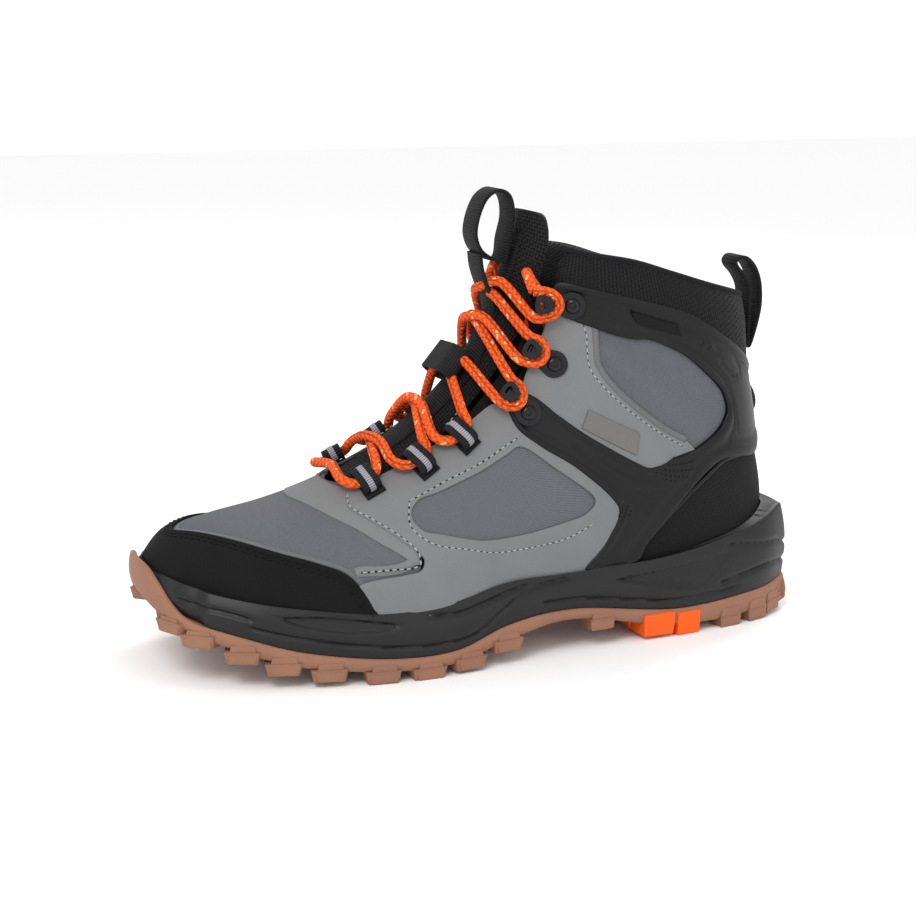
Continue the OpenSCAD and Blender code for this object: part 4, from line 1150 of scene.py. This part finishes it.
def seat(s, q, height=0.0):
    """Centre, outward direction and direction along the boot at a place on the upper."""
    up = outward(np.array([s]), np.array([q]))[0]
    ahead = last(s + 0.05, q) - last(s - 0.05, q)
    ahead = unit(ahead - (ahead @ up) * up)
    return last(s, q) + up * height, up, ahead


def make_heel():
    outline = joined(round_heel(HEEL_TOP), round_heel(HEEL_FEATHER))
    panel("heel_cloth", outline, TEXTILE - 1, TEXTILE, "heel_mesh", edge=0.3, crown=0.6,
          stands_for=["heel_textile"])
    for name, side in SIDES.items():
        strip("heel_piping_cord_" + name, on_side(PIPING, side), round_section(2.4, 1.1),
              "frame_plastic", height=0.3, stands_for=["heel_piping_" + name])
    strip("heel_seam_cover", [[12.9, 0], [12.5, 0], [12.0, 0]],
          [(-5, -0.5), (-5, 0.4), (-4, 0.8), (4, 0.8), (5, 0.4), (5, -0.5)], "frame_plastic",
          height=1.8)
    centre, up, ahead = seat(12.45, 0, FRAME_T + 0.5)
    turned("heel_badge_disc", centre, up, ahead, BADGE, "frame_plastic", stands_for=["heel_badge"])


def turned(name, centre, up, ahead, rings, material, sides=48, **words):
    """A turned piece from (radius, height) rings round an axis."""
    points = np.vstack([centre + r * circle(up, ahead, sides) + h * up for r, h in rings])
    uv = np.vstack([np.column_stack([around(sides) * 0.01, np.full(sides, h * MM)]) for _, h in rings])
    return add_mesh(name, (points, wall(len(rings), sides), uv), material, sharp=35, **words)


def crisp(points, share=0.1):
    """A closed outline whose corners stay sharp when it is smoothed."""
    corners = np.array(points, float)
    result = []
    for before, here, after in zip(np.roll(corners, 1, 0), corners, np.roll(corners, -1, 0)):
        result += [here + (before - here) * share, here, here + (after - here) * share]
    return [list(p) for p in result]


def make_labels(name, side):
    panel("side_label_patch_" + name, on_side(crisp(SIDE_PATCH), side), OVERLAY_T - 0.1, OVERLAY_T + 0.9,
          "label", step=1.5, edge=0.4, stands_for=["side_label_" + name],
          relief=lambda places, gap, s, q: -0.35 * np.clip((gap - 1.0) / 0.5, 0, 1))
    panel("band_label_patch_" + name, on_side(crisp(BAND_PATCH), side), FRAME_T - 0.5, FRAME_T + 0.3,
          "band_label", step=1.5, edge=0.3, stands_for=["band_label_" + name])


def make_linings():
    lining = joined(round_heel(LINING_TOP), round_heel(LINING_FEATHER))
    panel("lining_cloth", lining, -4.9, -3.7, "lining_mesh", step=4, edge=0.3,
          stands_for=["lining_quarters"])


def padded_band(name, a, b, low, high, crown, material, rows=90, **words):
    """A padded tube between two (s, q) paths, its ends rounded."""
    t = np.linspace(0, len(a) - 1, rows)
    first, second = along(a, t), along(b, t)
    squeeze = 0.25 + 0.75 * np.clip(np.minimum(np.arange(rows), rows - 1 - np.arange(rows)) / 3, 0, 1) ** 0.5
    middle = (high + low) / 2
    sections = []
    for turn in around(56):
        share = 0.5 - 0.5 * math.copysign(abs(math.cos(turn)) ** 0.55, math.cos(turn))
        rise = math.copysign(abs(math.sin(turn)) ** 0.7, math.sin(turn))
        level = rise * (high - low) / 2 + (crown * math.sin(math.pi * share) if rise > 0 else 0)
        place = first + (second - first) * (0.5 + (share - 0.5) * squeeze[:, None])
        sections.append(raised(place[:, 0], place[:, 1], middle + level * squeeze))
    sections = np.stack(sections, 1)
    return add_mesh(name, swept(sections.mean(1), sections), material, sharp=60, **words)


def make_collar():
    pad = padded_band("collar_padding", round_heel(COLLAR_LOW), round_heel(COLLAR_TOP), -6.7, 0.6, 1.3,
                      "black_mesh", stands_for=["collar_pad"])
    edge = round_heel(COLLAR_TOP)
    strip("collar_binding", [[s - 0.06, q] for s, q in edge],
          [(-1.6, -1.0), (-1.7, 0.6), (-1.0, 1.5), (0.4, 1.7), (1.2, 1.0), (1.4, -1.0)],
          "lining_mesh", height=-1.2)


# ---- Tongue ----


TONGUE_EDGE = [[5.15, -0.845], [6.5, -0.845], [8, -0.845], [9.5, -0.845], [11, -0.845], [12.4, -0.845],
               [13.4, -0.85], [14.1, -0.875], [14.36, -0.91]]
STRAP_SECTION = [(-9, -1.2), (-9, 0.3), (-8.4, 0.6), (-4, 0.7), (0, 0.75), (4, 0.7), (8.4, 0.6), (9, 0.3),
                 (9, -1.2), (4, -1.2), (0, -1.2), (-4, -1.2)]


def make_tongue():
    body = padded_band("tongue_body", TONGUE_EDGE, [[s, -2 - q] for s, q in TONGUE_EDGE], -7.0, -1.8, 0.9,
                       "black_mesh", rows=150, body=None, stands_for=["tongue_lower", "tongue_upper"])
    strap = strip("tongue_strap", [[s, -1] for s in (5.9, 7, 8, 9, 10, 11, 12, 13.2)], STRAP_SECTION,
                  "webbing", height=-0.9, body=None)
    for piece in (body, strap):
        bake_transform(piece)


def raised_point(s, q, height):
    return raised(np.array([s], float), np.array([q], float), np.array([height], float))[0] * MM


# ---- Lacing ----
LOOP_EYES = [(5.5, -0.84, OVERLAY_T), (6.38, -0.80, OVERLAY_T), (7.16, -0.78, OVERLAY_T)]
HOOK_EYES = [(8.44, -0.72, FRAME_T), (9.58, -0.735, OVERLAY_T), (11.6, -0.74, FRAME_T)]
EYES = LOOP_EYES + HOOK_EYES
CROSSINGS = (5.95, 6.85, 7.75, 8.95, 10.1)
LACE_SEAT, LACE_LOW, LACE_HIGH = 3.4, 2.2, 6.6
LACE_D = 4.6
LOOP_TURN = ((-9, 10), (-5, 3), (5, 3), (9, 10))    # along the boot, and towards the instep
HOOK_TURN = ((-5.6, 18), (-5.6, 11.5), (-3.6, 7.4), (0, 5.8), (3.6, 7.4), (5.6, 11.5), (5.6, 18))


def near_eye(eye, side, x, y, z):
    centre, up, ahead = seat(eye[0], -side * eye[1], eye[2] + z)
    return centre + ahead * x - np.cross(up, ahead) * y * side


def lace_half(side):
    points = []
    for i, eye in enumerate(EYES):
        here = side if i % 2 == 0 else -side
        level = LACE_LOW if (i % 2 == 0) == (side == LATERAL) else LACE_HIGH
        turn, high = (LOOP_TURN, LACE_SEAT + 0.2) if i < len(LOOP_EYES) else (HOOK_TURN, LACE_SEAT)
        points += [near_eye(eye, here, x, y, high) for x, y in turn]
        if i < len(CROSSINGS):
            cross = CROSSINGS[i]
            points += [strand(cross, eye[0] + 0.25, here, level), single(cross, -1, level),
                       strand(cross, EYES[i + 1][0] - 0.25, -here, level)]
    return points


def single(s, q, height):
    return raised_point(s, q, height) / MM


def strand(s, s_eye, side, level):
    return single((s + s_eye) / 2, side * 0.93, (level + 5) / 2)


def make_lace():
    points = lace_half(MEDIAL)[::-1] + [single(5.2, -1, 4)] + lace_half(LATERAL)
    add_mesh("lace_cord_body", tube(smooth_line(points, 0.9), LACE_D / 2), "lace_cord", stands_for=["lace"])


# A free end of the lace: (s, q, height) points past the last hook, then (x, z) points down inside the shaft
TAIL_START = [(11.75, 0.872, 3.4), (11.45, 0.85, 1.8), (11.2, 0.822, -1.5), (11.05, 0.816, -6)]
AGLET = [(2.2, -1.5), (2.6, -1.0), (2.6, 16), (2.2, 17.5), (0.6, 17.8)]    # radius and length
TAIL = [(30, 152), (33, 142), (35, 130), (36, 115), (36.5, 100), (37, 85)]


def make_tails():
    for name, side in SIDES.items():
        points = [lace_half(-side)[-1]] + [single(s, side * q, height) for s, q, height in TAIL_START]
        points += [np.array([x, 5 + side * (17 - 0.8 * (k + 1)), z]) for k, (x, z) in enumerate(TAIL)]
        line = smooth_line(points)
        cord = add_mesh("lace_end_" + name, tube(line, LACE_D / 2), "lace_cord",
                        stands_for=["lace_tail_" + name])
        tube_end = turned("aglet_tube_" + name, line[-1], np.array([0, 0, -1.0]), np.array([1.0, 0, 0]), AGLET,
                          "aglet_film", sides=24, stands_for=["aglet_" + name])


def ribbon(name, line, across, width, thick, material, *, closed=False, bevel=0.35, **words):
    """Flat webbing along a 3-D line, its width along the direction across."""
    line = np.asarray(line, float)
    if closed:
        tangent = unit(np.roll(line, -1, axis=0) - np.roll(line, 1, axis=0))
    else:
        tangent = unit(np.gradient(line, axis=0))
    across = unit(np.broadcast_to(across, line.shape) + 0.0)
    up = unit(np.cross(tangent, across))
    w, t = width / 2, thick / 2
    outline = [(-w, -t + bevel), (-w + bevel, -t), (w - bevel, -t), (w, -t + bevel), (w, t - bevel),
               (w - bevel, t), (-w + bevel, t), (-w, t - bevel)]
    sections = np.stack([line + a * across + b * up for a, b in outline], 1)
    return add_mesh(name, swept(line, sections, closed), material, sharp=50, **words)


def stadium(length, high, base=0.0, count=14):
    """Closed flat oval as (across, height) points."""
    r = high / 2
    ends = []
    for centre, start in ((length / 2 - r, -90), (-(length / 2 - r), 90)):
        for k in range(count + 1):
            angle = math.radians(start + 180 * k / count)
            ends.append((centre + r * math.cos(angle), base + r + r * math.sin(angle)))
    return ends


def make_loops():
    for name, side in SIDES.items():
        for k, eye in enumerate(LOOP_EYES, 1):
            centre, up, ahead = seat(eye[0], -side * eye[1], eye[2] + 0.1)
            across = -np.cross(up, ahead) * side
            oval, stripe, foot = ([centre + (2 + a) * across + h * up for a, h in flat]
                                  for flat in (stadium(12.8, 6.4, 0.6), stadium(14.3, 7.9, -0.15)[2:-1],
                                               ((-3, 0.5), (-6.5, 0.45), (-8.5, 0.2))))
            ribbon(f"lace_loop_{name}_{k}", oval, ahead, 9, 1.2, "webbing", closed=True,
                   stands_for=["lace_loops_" + name])
            ribbon(f"lace_loop_stripe_{name}_{k}", stripe, ahead, 2.8, 0.35, "grey_webbing", bevel=0.1)
            ribbon(f"lace_loop_foot_{name}_{k}", foot, ahead, 9.6, 1.0, "webbing")
            q = -side * eye[1] + side * 0.062
            stitch([[eye[0] - 0.17, q], [eye[0], q], [eye[0] + 0.17, q]], OVERLAY_T, "light", 1.6, 1.0)
    centre, up, ahead = seat(7.75, 1.0, -0.6)
    keeper = [centre + a * np.cross(up, ahead) + h * up for a, h in stadium(24, 9.8, 0.3)]
    ribbon("tongue_keeper_loop", keeper, ahead, 15, 1.2, "webbing", closed=True,
           stands_for=["tongue_keeper"])


def prism(outline, low, high, bevel=0.25):
    """A plate from a flat outline, its edges bevelled: points (x, y, z), faces and uv."""
    flat = np.array(outline, float)
    middle = flat.mean(0)
    inner = 1 - bevel / np.linalg.norm(flat - middle, axis=1).mean()
    return block(flat, middle, [(inner, low), (1, low + bevel), (1, high - bevel), (inner, high)])


def framed(outer, inner, low, high):
    """A plate with a window: points, faces and uv."""
    n = len(outer)
    rings = [(outer, low), (outer, high), (inner, high), (inner, low)]
    points = np.vstack([np.column_stack([np.array(ring, float), np.full(n, z)]) for ring, z in rings])
    return points, wall(len(rings), n, closed=True), points[:, :2] * MM


HOOK_NOSE = [(-2.6, 8.6), (0, 8.2), (2.6, 8.6), (4.0, 12), (4.4, 14.5), (3.2, 16.2), (0, 16.8), (-3.2, 16.2),
             (-4.4, 14.5), (-4.0, 12)]
HOOK_WINDOW = [(-0.8, 10.8), (0, 10.4), (0.8, 10.8), (1.6, 12.6), (2.2, 14.0), (1.4, 14.6), (0, 14.8),
               (-1.4, 14.6), (-2.2, 14.0), (-1.6, 12.6)]
HOOK_NECK = [(-2.4, 9.3), (2.4, 9.3), (2.4, 12.6), (-2.4, 12.6)]
RIVET = [(3.5, 1.2), (3.5, 1.7), (3.1, 2.4), (2.2, 2.9), (1.6, 3.0), (1.3, 2.7), (0.3, 2.6)]    # radius, height


def make_hooks():
    plate = [(6.2 * math.cos(t), 6.2 * math.sin(t)) for t in np.linspace(math.radians(20), math.radians(-200), 26)]
    plate += [(-3.6, 8), (-3.2, 13), (3.2, 13), (3.6, 8)]
    dome = stacked([r * circle(np.array([0, 0, 1.0]), np.array([1.0, 0, 0]), 32) + [0, 0, h] for r, h in RIVET])
    shapes = {"lace_hooks": [prism(plate, 0, 1.4), prism(HOOK_NECK, 1, 6.6, 0.2),
                             framed(HOOK_NOSE, HOOK_WINDOW, 6, 7.5)],
              "hook_rivets": [dome]}
    for name, side in SIDES.items():
        for kind, solids in shapes.items():
            parts = []
            for eye in HOOK_EYES:
                centre, up, ahead = seat(eye[0], -side * eye[1], eye[2] - 0.3)
                turn = np.stack([ahead, -np.cross(up, ahead) * side, up])
                parts += [(centre + points @ turn, faces, uv) for points, faces, uv in solids]
            add_mesh(f"{kind}_metal_{name}", merged(parts), "gunmetal", stands_for=[f"{kind}_{name}"],
                     sharp=35)


# ---- Pull loops ----
HEEL_LOOP = [(142.6, 130), (142.2, 148), (142, 158), (139, 164.5), (135, 169), (134.2, 171.6),
             (136.5, 173.6), (141, 172.5), (145.5, 167), (148, 158), (147.6, 146)]
TONGUE_LOOP = [(3.5, 180.5), (-0.5, 188), (0.5, 197), (4.5, 205.5), (10.5, 209), (16, 206), (17.6, 197),
               (15.4, 187), (13.2, 177)]
LOOP_BASE = [(1.6, 180.5), (2.4, 174), (4.6, 167), (7.4, 160), (8.6, 155), (7.6, 151)]
HEEL_STRIPE = [(148.9, 150), (149, 158), (146.4, 168)]


def make_pull_loops():
    for name, path, wide, body, node in (
            ("heel_pull_strap", HEEL_LOOP, 14, "heel_pull", "heel_loop"),
            ("tongue_pull_strap", TONGUE_LOOP, 16, "tongue_pull", "tongue_loop")):
        x, z = along(looped(path), np.linspace(1, len(path) + 1, 130))[:-1].T
        line = np.column_stack([x, np.full(len(x), LAST_MIDDLE), z])
        ribbon(name, line, (0, 1, 0), wide, 1.6, "webbing", closed=True, body=body, stands_for=[node])
    base, stripe = (smooth_line([(x, LAST_MIDDLE, z) for x, z in path]) for path in (LOOP_BASE, HEEL_STRIPE))
    ribbon("tongue_pull_base", base, (0, 1, 0), 16, 1.6, "webbing", body="tongue_top")
    ribbon("heel_pull_stripe", stripe, (0, 1, 0), 3, 0.3, "grey_webbing", body="heel_pull", bevel=0.1)


# ---- Pieces inside the boot ----
HIDDEN_FINISHES = {"shank": "shank_plastic", "insole_board": "board", "toe_puff": "stiffener",
                   "heel_counter": "stiffener", "lining_vamp": "lining_mesh", "gusset_lateral": "lining_mesh",
                   "gusset_medial": "lining_mesh"}


def finish_hidden_nodes():
    """Materials of the CAD pieces that are shown as they are."""
    for node, material in HIDDEN_FINISHES.items():
        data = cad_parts[node].data
        data.materials.clear()
        data.materials.append(MATERIALS[material])


def make_insole():
    row = along(STATIONS, np.linspace(1.8, 10.05, 130))
    share = np.maximum(row[:, 8], 0)
    lateral, medial = (np.maximum(row[:, k] * share - 6.6, 0.6) for k in (5, 6))
    spots = []
    for side, level in ((-1, 0.3), (-1, 3.8), (-0.94, 4.3), (-0.5, 4.2), (0, 4.0), (0.5, 4.2), (0.94, 4.3),
                        (1, 3.8), (1, 0.3)):
        reach = side * (lateral if side < 0 else medial)
        spots.append(np.column_stack([row[:, 0], row[:, 4] + reach, row[:, 1] + level]))
    sections = np.stack(spots, 1)
    add_mesh("insole_footbed", swept(sections.mean(1), sections), "insole_foam", "insole", ["insole"], sharp=40)


make_camera()
make_stage()
make_tails()
make_midsole()
make_outsole()
make_heel_insert()
make_toe()
make_vamp()
for NAME, SIDE in SIDES.items():
    make_quarters(NAME, SIDE)
    make_ankle(NAME, SIDE)
    make_ankle_frame(NAME, SIDE)
    make_labels(NAME, SIDE)
make_heel()
make_linings()
make_collar()
make_tongue()
make_loops()
make_hooks()
make_lace()
make_pull_loops()
make_insole()
finish_hidden_nodes()
make_threads()
